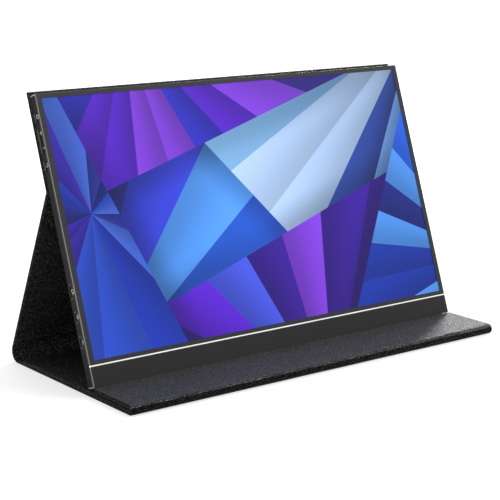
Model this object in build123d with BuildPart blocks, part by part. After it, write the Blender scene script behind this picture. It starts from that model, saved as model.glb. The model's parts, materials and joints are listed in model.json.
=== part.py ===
from build123d import *
from math import cos, hypot, radians, sin, tan
import os

os.makedirs("parts", exist_ok=True)

# A slim 15.6 inch monitor leaning in its folded leather cover.
# Millimetres and degrees. +X is to the right of the screen, -Y is towards the viewer, +Z is up.
# The origin is on the table, under the middle of the whole object.
# A place on the monitor is (u, v, w): across, up the screen from the bottom edge, behind the front.

# Monitor, outside
PICTURE_WIDTH = 344.16
PICTURE_HEIGHT = 193.59
SIDE_BEZEL = 4.75
TOP_BEZEL = 3.8
CHIN = 19.4
MONITOR_THICKNESS = 9.0
CORNER_BEVEL = 0.8
FRONT_BEVEL = 0.45
REAR_BEVEL = 0.7
LEAN_BACK = 19.8

# Front frame, its strip and its chin cover
FRAME_THICKNESS = 1.9
FRAME_LIP = 0.5
STRIP_HEIGHT = 15.7
STRIP_WIDTH = 1.1
STRIP_DEPTH = 0.5
CHIN_COVER_THICKNESS = 0.8
CHIN_COVER_MARGIN = 0.5
CHIN_COVER_DROP = 0.9
TRIM_GAP = 0.05

# Display module, from the front to the back
MODULE_SIDE_BORDER = 2.4
MODULE_TOP_BORDER = 1.9
MODULE_BOTTOM_BORDER = 4.9
MODULE_GAP = 0.2
TAPE_THICKNESS = 0.1
TAPE_WIDTH = 1.4
CELL_THICKNESS = 1.1
FILM_THICKNESS = 0.4
GUIDE_THICKNESS = 0.7
REFLECTOR_THICKNESS = 0.15
TRAY_THICKNESS = 0.3
SHEET_INSET = 0.7
LED_BAR_HEIGHT = 2.6
LED_GAP = 0.15

# Rear cover
WALL = 1.4
BACK_WALL = 1.0
SOUND_SLOTS = 9
SOUND_SLOT_WIDTH = 1.0
SOUND_SLOT_LENGTH = 6.0
SOUND_SLOT_PITCH = 3.0

# Boards inside
BOARD_THICKNESS = 1.0
INSULATOR_THICKNESS = 0.2
INSULATOR_BESIDE = 4.0
INSULATOR_BELOW = 4.0
INSULATOR_ABOVE = 0.7
EDGE_GAP = 0.4
MAIN_BOARD_WIDTH = 60.0
BOARD_BELOW_SOCKETS = 9.9
BOARD_ABOVE_SOCKETS = 15.0
DRIVER_BOARD_INSET = 15.5
DRIVER_BOARD_LOW = 2.6
DRIVER_BOARD_HIGH = 12.0
DRIVER_BOARD_THICKNESS = 0.8
BUTTON_BOARD_WIDTH = 11.0
BUTTON_BOARD_MARGIN = 9.0
RIBBON_WIDTH = 18.0
RIBBON_THICKNESS = 0.2
RIBBON_INSET = 26.5
RIBBON_OVERLAP = 7.0
FLEX_WIDTH = 5.0
FLEX_OVERLAP = 6.0
WIRE_RADIUS = 0.5
WIRE_BEND = 5.0
SHIELD_SIZE = (22.0, 16.0)
SHIELD_HEIGHT = 2.2
SHIELD_SHEET = 0.3
SHIELD_SPOT = (26.0, 23.0)

# Chips on the main board: width, height, rise, and place from its left and lower edges
CHIPS = [
    (12.0, 12.0, 1.2, 34.0, 44.0),
    (8.0, 8.0, 1.0, 20.0, 52.0),
    (6.0, 5.0, 1.0, 48.0, 50.0),
    (4.0, 4.0, 0.9, 18.0, 38.0),
    (18.0, 3.0, 1.4, 48.0, 14.0),
]

# Sockets in the left edge: places up the screen, and their shells
LOWER_USB_HEIGHT = 33.9
USB_SPACING = 18.3
VIDEO_SPACING = 18.8
USB_SHELL = (8.9, 3.2)
VIDEO_SHELL = (11.2, USB_SHELL[1])
SHELL_WALL = 0.35
SHELL_LENGTH = 7.4
SHELL_BACK = 1.2
SHELL_SETBACK = 0.15
TONGUE_THICKNESS = 0.7
TONGUE_LENGTH = 4.6
CUTOUT_GAP = 0.12

# Buttons in the left edge
POWER_BUTTON_DROP = 16.39
POWER_TO_ROCKER = 17.9
ROCKER_TO_BACK = 18.2
BUTTON_LENGTH = 7.2
ROCKER_LENGTH = 18.6
BUTTON_WIDTH = 2.6
BUTTON_PROUD = 0.55
BUTTON_TRAVEL = 0.35
BUTTON_GAP = 0.12
FLANGE_THICKNESS = 0.5
FLANGE_MARGIN = 0.45
ROCKER_ARM = 5.2
ROCKER_SWING_GAP = 0.35
PIVOT_RADIUS = 0.5
PIVOT_CLEARANCE = 0.05
EAR_THICKNESS = 0.5
EAR_GAP = 0.1
EAR_REACH = 0.9
BRACKET_WEB = 1.0
SWITCH_GAP = 0.3
SWITCH_LENGTH = 4.4
SWITCH_DEPTH = 3.0
PLUNGER_RADIUS = 0.8
PLUNGER_LENGTH = 1.2

# Speakers
SPEAKER_LENGTH = 50.0
SPEAKER_INSET = 66.5
SPEAKER_LOW = 2.6
SPEAKER_HIGH = 13.0
SPEAKER_FRONT = 3.9
GASKET_THICKNESS = 0.4

# Screws and standoffs
SCREW_RADIUS = 0.8
SCREW_HEAD_RADIUS = 1.6
SCREW_LENGTH = 4.4
SCREW_GAP = 0.05
SCREW_INSET = 26.5
LOW_SCREW_INSET = 76.5
LOW_SCREW_HEIGHT = 22.0
MIDDLE_SCREW_HEIGHT = 120.0
TOP_SCREW_DROP = 10.79
STANDOFF_RADIUS = 2.2
BOARD_SCREW_RADIUS = 0.7
BOARD_SCREW_HEAD_RADIUS = 1.4
BOARD_SCREW_HEAD_HEIGHT = 0.6
BOARD_SCREW_MARGIN = 3.2

# Rubber feet under the monitor's bottom edge
FOOT_LENGTH = 110.0
FOOT_INSET = 4.0
FOOT_FRONT = 4.0
FOOT_BACK = 8.0
FOOT_HEIGHT = 2.0
FOOT_ROUND = 0.8

# Steel plates in the monitor, and the magnets in the flap behind them
MAGNET_SIZE = (24.0, 12.0)
MAGNET_THICKNESS = 1.0
MAGNET_GAP = 0.1
CATCH_MARGIN = 3.0
CATCH_THICKNESS = 0.5
MAGNET_SPACING = 180.0
MAGNET_ROW_SPACING = 30.0
MAGNET_DROP = 18.4

# Leather cover
CASE_MARGIN = 0.7
BASE_THICKNESS = 3.5
PANEL_THICKNESS = 2.4
SKIN_THICKNESS = 0.65
LINING_THICKNESS = 0.65
PANEL_RIM = 2.2
BOARD_GAP = 0.1
PANEL_EDGE_RADIUS = 0.5
FLAP_CORNER = 0.8
LEDGE_CORNER = 0.8
FRONT_REACH = 50.5
LEDGE_GAP = 0.25
LAYER_GAP = 0.9
FOOT_GAP = 0.1
FLAP_GAP = 0.2
FLAP_RISE = 3.61
FLAP_LENGTH = 74.4
REAR_LEAN = 24.1
SPINE_RADIUS = 8.5
FOLD_LEATHER = 1.4
BASE_LEG = 6.5
SPINE_LEG = 3.0
BACK_FOLD_LEG = 4.0
BACK_FOLD_RADIUS = 2.5
FRONT_FOLD_LEG = 2.2

# Sizes worked out from the ones above

monitor_width = PICTURE_WIDTH + 2 * SIDE_BEZEL
monitor_height = CHIN + PICTURE_HEIGHT + TOP_BEZEL
picture_middle = CHIN + PICTURE_HEIGHT / 2
case_width = monitor_width + 2 * CASE_MARGIN
flap_top = monitor_height + FLAP_RISE
back_fold_height = flap_top - FLAP_LENGTH

tape_front = FRAME_LIP
cell_front = tape_front + TAPE_THICKNESS
film_front = cell_front + CELL_THICKNESS
guide_front = film_front + FILM_THICKNESS
reflector_front = guide_front + GUIDE_THICKNESS
tray_floor = reflector_front + REFLECTOR_THICKNESS
tray_back = tray_floor + TRAY_THICKNESS
board_front = tray_back + INSULATOR_THICKNESS
board_back = board_front + BOARD_THICKNESS
cavity_back = MONITOR_THICKNESS - BACK_WALL
socket_line = board_back + USB_SHELL[1] / 2

module_width = PICTURE_WIDTH + 2 * MODULE_SIDE_BORDER
module_low = CHIN - MODULE_BOTTOM_BORDER
module_high = CHIN + PICTURE_HEIGHT + MODULE_TOP_BORDER
module_height = module_high - module_low
module_middle = (module_high + module_low) / 2

upper_usb_height = LOWER_USB_HEIGHT + USB_SPACING
video_height = upper_usb_height + VIDEO_SPACING
power_height = monitor_height - POWER_BUTTON_DROP
rocker_height = power_height - POWER_TO_ROCKER
back_height = rocker_height - ROCKER_TO_BACK

main_board_low = LOWER_USB_HEIGHT - BOARD_BELOW_SOCKETS
main_board_high = video_height + BOARD_ABOVE_SOCKETS
button_board_low = back_height - BUTTON_BOARD_MARGIN
button_board_high = power_height + BUTTON_BOARD_MARGIN
driver_board_width = monitor_width - 2 * DRIVER_BOARD_INSET
ribbon_u = RIBBON_INSET - monitor_width / 2
speaker_u = monitor_width / 2 - SPEAKER_INSET

screw_u = monitor_width / 2 - SCREW_INSET
low_screw_u = monitor_width / 2 - LOW_SCREW_INSET
top_screw_height = monitor_height - TOP_SCREW_DROP
screw_spots = [(side * low_screw_u, LOW_SCREW_HEIGHT) for side in (-1, 1)]
screw_spots += [(side * screw_u, MIDDLE_SCREW_HEIGHT) for side in (-1, 1)]
screw_spots += [(side * screw_u, top_screw_height) for side in (-1, 1)]

top_magnet_row = flap_top - MAGNET_DROP
magnet_rows = (top_magnet_row - MAGNET_ROW_SPACING, top_magnet_row)
magnet_spots = [(side * MAGNET_SPACING / 2, row) for row in magnet_rows for side in (-1, 1)]

# The side view: the fold lines of the cover, measured from the monitor's front bottom edge

foot_drop = (
    FOOT_ROUND
    + (FOOT_HEIGHT - FOOT_ROUND) * cos(radians(LEAN_BACK))
    + (FOOT_BACK - FOOT_ROUND) * sin(radians(LEAN_BACK))
)
front_edge_z = BASE_THICKNESS + FOOT_GAP + foot_drop
flap_inner = MONITOR_THICKNESS + FLAP_GAP
flap_outer = flap_inner + PANEL_THICKNESS
kink_y = back_fold_height * sin(radians(LEAN_BACK)) + flap_outer * cos(radians(LEAN_BACK))
kink_z = (
    front_edge_z
    + back_fold_height * cos(radians(LEAN_BACK))
    - flap_outer * sin(radians(LEAN_BACK))
)
spine_drop = kink_z - SPINE_RADIUS * (1 + sin(radians(REAR_LEAN)))
spine_run = kink_y + spine_drop * tan(radians(REAR_LEAN)) - SPINE_RADIUS * cos(radians(REAR_LEAN))
rear_reach = spine_run + SPINE_RADIUS
front_edge_y = (FRONT_REACH - rear_reach) / 2

spine_y = front_edge_y + spine_run
kink = Vector(0, front_edge_y + kink_y, kink_z)
fold_angle = LEAN_BACK + REAR_LEAN
front_fold_radius = BASE_THICKNESS + LAYER_GAP / 2
front_fold_y = front_edge_y - FRONT_REACH + front_fold_radius

screen_up = Vector(0, sin(radians(LEAN_BACK)), cos(radians(LEAN_BACK)))
screen_out = Vector(0, -cos(radians(LEAN_BACK)), sin(radians(LEAN_BACK)))
rear_in = Vector(0, -cos(radians(REAR_LEAN)), -sin(radians(REAR_LEAN)))

tangent_run = BACK_FOLD_RADIUS * tan(radians(fold_angle / 2))
back_fold_centre = kink + screen_up * tangent_run - screen_out * BACK_FOLD_RADIUS
flap_start = back_fold_height + tangent_run
spine_outer = Vector(0, spine_y, SPINE_RADIUS) - rear_in * SPINE_RADIUS
rear_length = hypot(kink.Y - spine_outer.Y, kink.Z - spine_outer.Z) - tangent_run

# The planes that pieces are drawn on

screen = Plane(origin=(0, front_edge_y, front_edge_z), x_dir=(1, 0, 0), z_dir=screen_out)
left_edge = Plane(
    origin=(-monitor_width / 2, front_edge_y, front_edge_z),
    x_dir=screen_up,
    z_dir=(-1, 0, 0),
)
base_plane = Plane(origin=(0, front_fold_y, 0), x_dir=(1, 0, 0), z_dir=(0, 0, 1))
ledge_plane = Plane(
    origin=(0, front_fold_y, 2 * front_fold_radius), x_dir=(-1, 0, 0), z_dir=(0, 0, -1)
)
rear_plane = Plane(origin=spine_outer, x_dir=(1, 0, 0), z_dir=rear_in)
flap_plane = screen.offset(-flap_outer)
OUTWARD = Axis((0, 0, 0), screen_out)


def behind(w):
    """The plane parallel to the screen that lies w behind the monitor's front."""
    return screen.offset(-w)


def inward(x):
    """The plane parallel to the left edge, x inside it, where a point is (v, w)."""
    return left_edge.offset(-x)


def finish(piece, name):
    """Label a finished piece and write it to its own file."""
    piece.part.label = name
    export_step(piece.part, "parts/" + name + ".step")


def sheet(low_v, high_v, width, front, back, middle_u=0.0):
    """A plain rectangular sheet parallel to the screen."""
    with BuildPart() as made:
        with BuildSketch(behind(back)):
            with Locations((middle_u, (low_v + high_v) / 2)):
                Rectangle(width, high_v - low_v)
        extrude(amount=back - front)
    return made


# Front frame: a thin bezel round the picture, with a channel for the strip and a bed for the chin

chin_cover_top = STRIP_HEIGHT - STRIP_WIDTH / 2 - CHIN_COVER_DROP

with BuildPart() as front_frame:
    with BuildSketch(behind(FRAME_THICKNESS)) as front_outline:
        with Locations((0, monitor_height / 2)):
            Rectangle(monitor_width, monitor_height)
        chamfer(front_outline.vertices(), CORNER_BEVEL)
    extrude(amount=FRAME_THICKNESS)
    front_edges = front_frame.faces().sort_by(OUTWARD)[-1].edges().sort_by(Axis.Z)
    chamfer(front_edges[1:], FRONT_BEVEL)
    with BuildSketch(behind(FRAME_THICKNESS)):
        with Locations((0, module_middle)):
            Rectangle(module_width + 2 * MODULE_GAP, module_height + 2 * MODULE_GAP)
    extrude(amount=FRAME_THICKNESS - FRAME_LIP, mode=Mode.SUBTRACT)
    with BuildSketch(behind(FRAME_THICKNESS)):
        with Locations((0, picture_middle)):
            Rectangle(PICTURE_WIDTH, PICTURE_HEIGHT)
    extrude(amount=FRAME_THICKNESS, mode=Mode.SUBTRACT)
    with BuildSketch(behind(STRIP_DEPTH)):
        with Locations((0, STRIP_HEIGHT)):
            Rectangle(monitor_width, STRIP_WIDTH)
    extrude(amount=STRIP_DEPTH, mode=Mode.SUBTRACT)
    with BuildSketch(behind(CHIN_COVER_THICKNESS)):
        with Locations((0, (CHIN_COVER_MARGIN + chin_cover_top) / 2)):
            Rectangle(monitor_width - 2 * CHIN_COVER_MARGIN, chin_cover_top - CHIN_COVER_MARGIN)
    extrude(amount=CHIN_COVER_THICKNESS, mode=Mode.SUBTRACT)
finish(front_frame, "front_frame")

with BuildPart() as accent_strip:
    with BuildSketch(behind(STRIP_DEPTH)):
        with Locations((0, STRIP_HEIGHT)):
            Rectangle(monitor_width, STRIP_WIDTH - 2 * TRIM_GAP)
    extrude(amount=STRIP_DEPTH)
    strip_ends = accent_strip.faces().sort_by(OUTWARD)[-1].edges().sort_by(SortBy.LENGTH)[:2]
    chamfer(strip_ends, FRONT_BEVEL)
    strip_sides = accent_strip.faces().sort_by(OUTWARD)[-1].edges().sort_by(SortBy.LENGTH)[-2:]
    chamfer(strip_sides, TRIM_GAP)
finish(accent_strip, "accent_strip")

with BuildPart() as chin_cover:
    with BuildSketch(behind(CHIN_COVER_THICKNESS)):
        with Locations((0, (CHIN_COVER_MARGIN + chin_cover_top) / 2)):
            Rectangle(
                monitor_width - 2 * CHIN_COVER_MARGIN - 2 * TRIM_GAP,
                chin_cover_top - CHIN_COVER_MARGIN - 2 * TRIM_GAP,
            )
    extrude(amount=CHIN_COVER_THICKNESS)
    chamfer(chin_cover.faces().sort_by(OUTWARD)[-1].edges(), TRIM_GAP)
finish(chin_cover, "chin_cover")

# Display module: tape, cell, films, light guide, reflector, light bar and steel tray

with BuildPart() as panel_tape:
    with BuildSketch(behind(cell_front)) as ring:
        with Locations((0, module_middle)):
            Rectangle(module_width, module_height)
            Rectangle(
                module_width - 2 * TAPE_WIDTH, module_height - 2 * TAPE_WIDTH, mode=Mode.SUBTRACT
            )
    extrude(amount=TAPE_THICKNESS)
finish(panel_tape, "panel_tape")

lcd_panel = sheet(module_low, module_high, module_width, cell_front, film_front)
finish(lcd_panel, "lcd_panel")

sheet_width = module_width - 2 * SHEET_INSET
sheet_low = module_low + SHEET_INSET
sheet_high = module_high - SHEET_INSET
optical_films = sheet(sheet_low, sheet_high, sheet_width, film_front, guide_front)
finish(optical_films, "optical_films")

led_bar = sheet(sheet_low, sheet_low + LED_BAR_HEIGHT, sheet_width, guide_front, reflector_front)
finish(led_bar, "led_bar")

guide_low = sheet_low + LED_BAR_HEIGHT + LED_GAP
light_guide_plate = sheet(guide_low, sheet_high, sheet_width, guide_front, reflector_front)
finish(light_guide_plate, "light_guide_plate")

reflector_sheet = sheet(sheet_low, sheet_high, sheet_width, reflector_front, tray_floor)
finish(reflector_sheet, "reflector_sheet")

board_left = -monitor_width / 2 + WALL + EDGE_GAP
near_screw_u = board_left + BOARD_SCREW_MARGIN
far_screw_u = board_left + MAIN_BOARD_WIDTH - BOARD_SCREW_MARGIN
board_screw_spots = [
    (far_screw_u, main_board_low + BOARD_SCREW_MARGIN),
    (far_screw_u, main_board_high - BOARD_SCREW_MARGIN),
    (near_screw_u, main_board_high - BOARD_SCREW_MARGIN),
]

with BuildPart() as backlight_tray:
    with BuildSketch(behind(tray_back)):
        with Locations((0, module_middle)):
            Rectangle(module_width, module_height)
    extrude(amount=tray_back - film_front)
    with BuildSketch(behind(tray_floor)):
        with Locations((0, module_middle)):
            Rectangle(module_width - 2 * TRAY_THICKNESS, module_height - 2 * TRAY_THICKNESS)
    extrude(amount=tray_floor - film_front, mode=Mode.SUBTRACT)
    with BuildSketch(behind(tray_back)):
        with Locations(*board_screw_spots):
            Circle(BOARD_SCREW_RADIUS + SCREW_GAP)
    extrude(amount=TRAY_THICKNESS, mode=Mode.SUBTRACT)
finish(backlight_tray, "backlight_tray")

panel_driver_board = sheet(
    DRIVER_BOARD_LOW,
    DRIVER_BOARD_HIGH,
    driver_board_width,
    FRAME_THICKNESS,
    FRAME_THICKNESS + DRIVER_BOARD_THICKNESS,
)
finish(panel_driver_board, "panel_driver_board")

# Rear cover: a tray with its rim against the front frame, open at the sockets and buttons


def edge_slots(heights, length, width, gap):
    """Draw the round-ended slots of one kind on the left edge."""
    for height in heights:
        with Locations((height, socket_line)):
            SlotOverall(length + 2 * gap, width + 2 * gap)


with BuildPart() as rear_cover:
    with BuildSketch(behind(MONITOR_THICKNESS)) as rear_outline:
        with Locations((0, monitor_height / 2)):
            Rectangle(monitor_width, monitor_height)
        chamfer(rear_outline.vertices(), CORNER_BEVEL)
    extrude(amount=MONITOR_THICKNESS - FRAME_THICKNESS)
    chamfer(rear_cover.faces().sort_by(OUTWARD)[0].edges(), REAR_BEVEL)
    with BuildSketch(behind(cavity_back)):
        with Locations((0, monitor_height / 2)):
            Rectangle(monitor_width - 2 * WALL, monitor_height - 2 * WALL)
    extrude(amount=cavity_back - FRAME_THICKNESS, mode=Mode.SUBTRACT)
    with BuildSketch(inward(WALL)):
        edge_slots([LOWER_USB_HEIGHT, upper_usb_height], *USB_SHELL, CUTOUT_GAP)
        edge_slots([video_height], *VIDEO_SHELL, CUTOUT_GAP)
        edge_slots([power_height, back_height], BUTTON_LENGTH, BUTTON_WIDTH, BUTTON_GAP)
        edge_slots([rocker_height], ROCKER_LENGTH, BUTTON_WIDTH, BUTTON_GAP)
    extrude(amount=WALL, mode=Mode.SUBTRACT)
    with BuildSketch(behind(MONITOR_THICKNESS)):
        for side in (-1, 1):
            with Locations((side * speaker_u, (SPEAKER_LOW + SPEAKER_HIGH) / 2)):
                with GridLocations(SOUND_SLOT_PITCH, 0, SOUND_SLOTS, 1):
                    SlotOverall(SOUND_SLOT_LENGTH, SOUND_SLOT_WIDTH, rotation=90)
    extrude(amount=BACK_WALL, mode=Mode.SUBTRACT)
    with BuildSketch(behind(MONITOR_THICKNESS)):
        with Locations(*screw_spots):
            Circle(SCREW_RADIUS + SCREW_GAP)
    extrude(amount=BACK_WALL, mode=Mode.SUBTRACT)
    with BuildSketch(behind(MONITOR_THICKNESS)):
        with Locations(*screw_spots):
            Circle(SCREW_HEAD_RADIUS + SCREW_GAP)
    extrude(amount=BACK_WALL / 2, mode=Mode.SUBTRACT)
finish(rear_cover, "rear_cover")

# Standoffs on the steel tray, and the screws that draw the rear cover onto them

with BuildPart() as tray_standoffs:
    with BuildSketch(behind(cavity_back)):
        with Locations(*screw_spots):
            Circle(STANDOFF_RADIUS)
            Circle(SCREW_RADIUS + SCREW_GAP, mode=Mode.SUBTRACT)
    extrude(amount=cavity_back - tray_back)
finish(tray_standoffs, "tray_standoffs")

with BuildPart() as housing_screws:
    with BuildSketch(behind(MONITOR_THICKNESS)):
        with Locations(*screw_spots):
            Circle(SCREW_HEAD_RADIUS)
            RegularPolygon(SCREW_RADIUS / 2, 6, mode=Mode.SUBTRACT)
    extrude(amount=BACK_WALL / 2)
    with BuildSketch(behind(MONITOR_THICKNESS - BACK_WALL / 4)):
        with Locations(*screw_spots):
            Circle(SCREW_RADIUS)
    extrude(amount=SCREW_LENGTH)
finish(housing_screws, "housing_screws")

# Main board on its insulating sheet, with its chips, shield and screws

main_board_u = board_left + MAIN_BOARD_WIDTH / 2
insulator_width = MAIN_BOARD_WIDTH + INSULATOR_BESIDE
insulator_u = board_left + insulator_width / 2
insulator_low = main_board_low - INSULATOR_BELOW
insulator_high = button_board_high + INSULATOR_ABOVE

with BuildPart() as insulator_sheet:
    with BuildSketch(behind(board_front)):
        with Locations((insulator_u, (insulator_low + insulator_high) / 2)):
            Rectangle(insulator_width, insulator_high - insulator_low)
        with Locations(*board_screw_spots):
            Circle(BOARD_SCREW_RADIUS + SCREW_GAP, mode=Mode.SUBTRACT)
        with Locations(*[spot for spot in screw_spots if spot[0] < board_left + insulator_width]):
            Circle(STANDOFF_RADIUS + EDGE_GAP, mode=Mode.SUBTRACT)
    extrude(amount=INSULATOR_THICKNESS)
finish(insulator_sheet, "insulator_sheet")

with BuildPart() as main_board:
    with BuildSketch(behind(board_back)):
        with Locations((main_board_u, (main_board_low + main_board_high) / 2)):
            Rectangle(MAIN_BOARD_WIDTH, main_board_high - main_board_low)
        with Locations(*board_screw_spots):
            Circle(BOARD_SCREW_RADIUS + SCREW_GAP, mode=Mode.SUBTRACT)
    extrude(amount=BOARD_THICKNESS)
finish(main_board, "main_board")

with BuildPart() as board_screws:
    with BuildSketch(behind(board_back)):
        with Locations(*board_screw_spots):
            Circle(BOARD_SCREW_RADIUS)
    extrude(amount=BOARD_THICKNESS + INSULATOR_THICKNESS + TRAY_THICKNESS / 2)
    with BuildSketch(behind(board_back + BOARD_SCREW_HEAD_HEIGHT)):
        with Locations(*board_screw_spots):
            Circle(BOARD_SCREW_HEAD_RADIUS)
    extrude(amount=BOARD_SCREW_HEAD_HEIGHT)
finish(board_screws, "board_screws")

with BuildPart() as board_chips:
    for width, height, rise, from_left, from_low in CHIPS:
        with BuildSketch(behind(board_back + rise)):
            with Locations((board_left + from_left, main_board_low + from_low)):
                Rectangle(width, height)
        extrude(amount=rise)
finish(board_chips, "board_chips")

shield_place = (board_left + SHIELD_SPOT[0], main_board_low + SHIELD_SPOT[1])

with BuildPart() as shield_can:
    with BuildSketch(behind(board_back + SHIELD_HEIGHT)):
        with Locations(shield_place):
            Rectangle(*SHIELD_SIZE)
    extrude(amount=SHIELD_HEIGHT)
    with BuildSketch(behind(board_back + SHIELD_HEIGHT - SHIELD_SHEET)):
        with Locations(shield_place):
            Rectangle(SHIELD_SIZE[0] - 2 * SHIELD_SHEET, SHIELD_SIZE[1] - 2 * SHIELD_SHEET)
    extrude(amount=SHIELD_HEIGHT - SHIELD_SHEET, mode=Mode.SUBTRACT)
finish(shield_can, "shield_can")

# Sockets: round-ended metal shells that stand on the board and open at the left edge


def socket_shell(height, size):
    """One socket's shell, closed at its inner end."""
    length, width = size
    with BuildPart() as shell:
        with BuildSketch(inward(SHELL_SETBACK + SHELL_LENGTH)):
            with Locations((height, socket_line)):
                SlotOverall(length, width)
        extrude(amount=SHELL_LENGTH)
        with BuildSketch(inward(SHELL_SETBACK + SHELL_LENGTH - SHELL_BACK)):
            with Locations((height, socket_line)):
                SlotOverall(length - 2 * SHELL_WALL, width - 2 * SHELL_WALL)
        extrude(amount=SHELL_LENGTH - SHELL_BACK, mode=Mode.SUBTRACT)
    return shell


usb_c_port_upper = socket_shell(upper_usb_height, USB_SHELL)
finish(usb_c_port_upper, "usb_c_port_upper")
usb_c_port_lower = socket_shell(LOWER_USB_HEIGHT, USB_SHELL)
finish(usb_c_port_lower, "usb_c_port_lower")
mini_video_port = socket_shell(video_height, VIDEO_SHELL)
finish(mini_video_port, "mini_video_port")

socket_sizes = [
    (LOWER_USB_HEIGHT, USB_SHELL),
    (upper_usb_height, USB_SHELL),
    (video_height, VIDEO_SHELL),
]

with BuildPart() as port_tongues:
    with BuildSketch(inward(SHELL_SETBACK + SHELL_LENGTH - SHELL_BACK)):
        for height, size in socket_sizes:
            with Locations((height, socket_line)):
                Rectangle(size[0] - size[1], TONGUE_THICKNESS)
    extrude(amount=TONGUE_LENGTH)
finish(port_tongues, "port_tongues")

# Ribbon from the main board round the tray's lower edge to the driver board

ribbon_mid = RIBBON_THICKNESS / 2
driver_board_back = FRAME_THICKNESS + DRIVER_BOARD_THICKNESS

with BuildPart() as display_ribbon_cable:
    with BuildSketch(inward(monitor_width / 2 + ribbon_u + RIBBON_WIDTH / 2)):
        with BuildLine():
            Polyline(
                (main_board_low + RIBBON_OVERLAP, board_back + ribbon_mid),
                (module_low - WALL, board_back + ribbon_mid),
                (DRIVER_BOARD_HIGH - WALL, driver_board_back + ribbon_mid),
                (DRIVER_BOARD_HIGH - RIBBON_OVERLAP, driver_board_back + ribbon_mid),
            )
            offset(amount=ribbon_mid, kind=Kind.INTERSECTION)
        make_face()
    extrude(amount=RIBBON_WIDTH)
finish(display_ribbon_cable, "display_ribbon_cable")

# Button board, with its switches, and the flex cable down to the main board

button_board_u = board_left + BUTTON_BOARD_WIDTH / 2
button_board = sheet(
    button_board_low, button_board_high, BUTTON_BOARD_WIDTH, board_front, board_back, button_board_u
)
finish(button_board, "button_board")

stem_inside = WALL + TRIM_GAP + FLANGE_THICKNESS
plunger_inside = stem_inside + BUTTON_TRAVEL + SWITCH_GAP
switch_inside = plunger_inside + PLUNGER_LENGTH
switch_heights = [
    power_height,
    rocker_height + ROCKER_ARM,
    rocker_height - ROCKER_ARM,
    back_height,
]

with BuildPart() as tact_switches:
    with BuildSketch(behind(socket_line + SWITCH_DEPTH / 2)):
        for height in switch_heights:
            with Locations((-monitor_width / 2 + switch_inside + SWITCH_DEPTH / 2, height)):
                Rectangle(SWITCH_DEPTH, SWITCH_LENGTH)
    extrude(amount=socket_line + SWITCH_DEPTH / 2 - board_back)
    with BuildSketch(inward(switch_inside)):
        for height in switch_heights:
            with Locations((height, socket_line)):
                Circle(PLUNGER_RADIUS)
    extrude(amount=PLUNGER_LENGTH)
finish(tact_switches, "tact_switches")

flex_low = main_board_high - FLEX_OVERLAP
flex_high = button_board_low + FLEX_OVERLAP
button_flex_cable = sheet(
    flex_low,
    flex_high,
    FLEX_WIDTH,
    board_back,
    board_back + RIBBON_THICKNESS,
    board_left + BUTTON_BOARD_WIDTH - FLEX_WIDTH / 2,
)
finish(button_flex_cable, "button_flex_cable")

# Buttons: a cap through the edge with a flange that stops it inside


def push_button(height):
    """A push button, standing proud of the left edge, its flange just inside the wall."""
    with BuildPart() as button:
        with BuildSketch(inward(WALL + TRIM_GAP)):
            with Locations((height, socket_line)):
                SlotOverall(BUTTON_LENGTH, BUTTON_WIDTH)
        extrude(amount=WALL + TRIM_GAP + BUTTON_PROUD)
        fillet(button.faces().sort_by(Axis.X)[0].edges(), BUTTON_PROUD / 2)
        with BuildSketch(inward(stem_inside)):
            with Locations((height, socket_line)):
                SlotOverall(BUTTON_LENGTH + 2 * FLANGE_MARGIN, BUTTON_WIDTH)
        extrude(amount=FLANGE_THICKNESS)
    return button


power_button = push_button(power_height)
finish(power_button, "power_button")
back_button = push_button(back_height)
finish(back_button, "back_button")

pivot_inside = WALL + ROCKER_SWING_GAP + PIVOT_RADIUS + FLANGE_THICKNESS
pin_half = socket_line - board_back
rocker_hub = pin_half - EAR_THICKNESS - EAR_GAP
pivot_u = -monitor_width / 2 + pivot_inside

with BuildPart() as menu_rocker:
    with BuildSketch(inward(WALL + ROCKER_SWING_GAP)):
        with Locations((rocker_height, socket_line)):
            SlotOverall(ROCKER_LENGTH, BUTTON_WIDTH)
    extrude(amount=WALL + ROCKER_SWING_GAP + BUTTON_PROUD)
    fillet(menu_rocker.faces().sort_by(Axis.X)[0].edges(), BUTTON_PROUD / 2)
    with BuildSketch(inward(WALL + ROCKER_SWING_GAP + FLANGE_THICKNESS)):
        with Locations((rocker_height, socket_line)):
            Rectangle(ROCKER_LENGTH, 2 * rocker_hub)
    extrude(amount=FLANGE_THICKNESS)
    with BuildSketch(inward(pivot_inside)):
        with Locations((rocker_height, socket_line)):
            Rectangle(2 * PIVOT_RADIUS, 2 * rocker_hub)
    extrude(amount=PIVOT_RADIUS + FLANGE_THICKNESS)
    with BuildSketch(behind(socket_line + pin_half)):
        with Locations((pivot_u, rocker_height)):
            Circle(PIVOT_RADIUS)
    extrude(amount=2 * pin_half)
finish(menu_rocker, "menu_rocker")

with BuildPart() as button_bracket:
    with BuildSketch(behind(socket_line + pin_half)):
        with Locations((pivot_u + (EAR_GAP + BRACKET_WEB) / 2, rocker_height)):
            Rectangle(2 * EAR_REACH + EAR_GAP + BRACKET_WEB, 2 * EAR_REACH)
    extrude(amount=2 * pin_half)
    with BuildSketch(behind(socket_line + pin_half - EAR_THICKNESS)):
        with Locations((pivot_u, rocker_height)):
            Rectangle(2 * EAR_REACH + 2 * EAR_GAP, 2 * EAR_REACH)
    extrude(amount=2 * (pin_half - EAR_THICKNESS), mode=Mode.SUBTRACT)
    with BuildSketch(behind(socket_line + pin_half)):
        with Locations((pivot_u, rocker_height)):
            Circle(PIVOT_RADIUS + PIVOT_CLEARANCE)
    extrude(amount=2 * pin_half, mode=Mode.SUBTRACT)
finish(button_bracket, "button_bracket")

# Speakers on foam gaskets against the rear cover, and their wires


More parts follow.
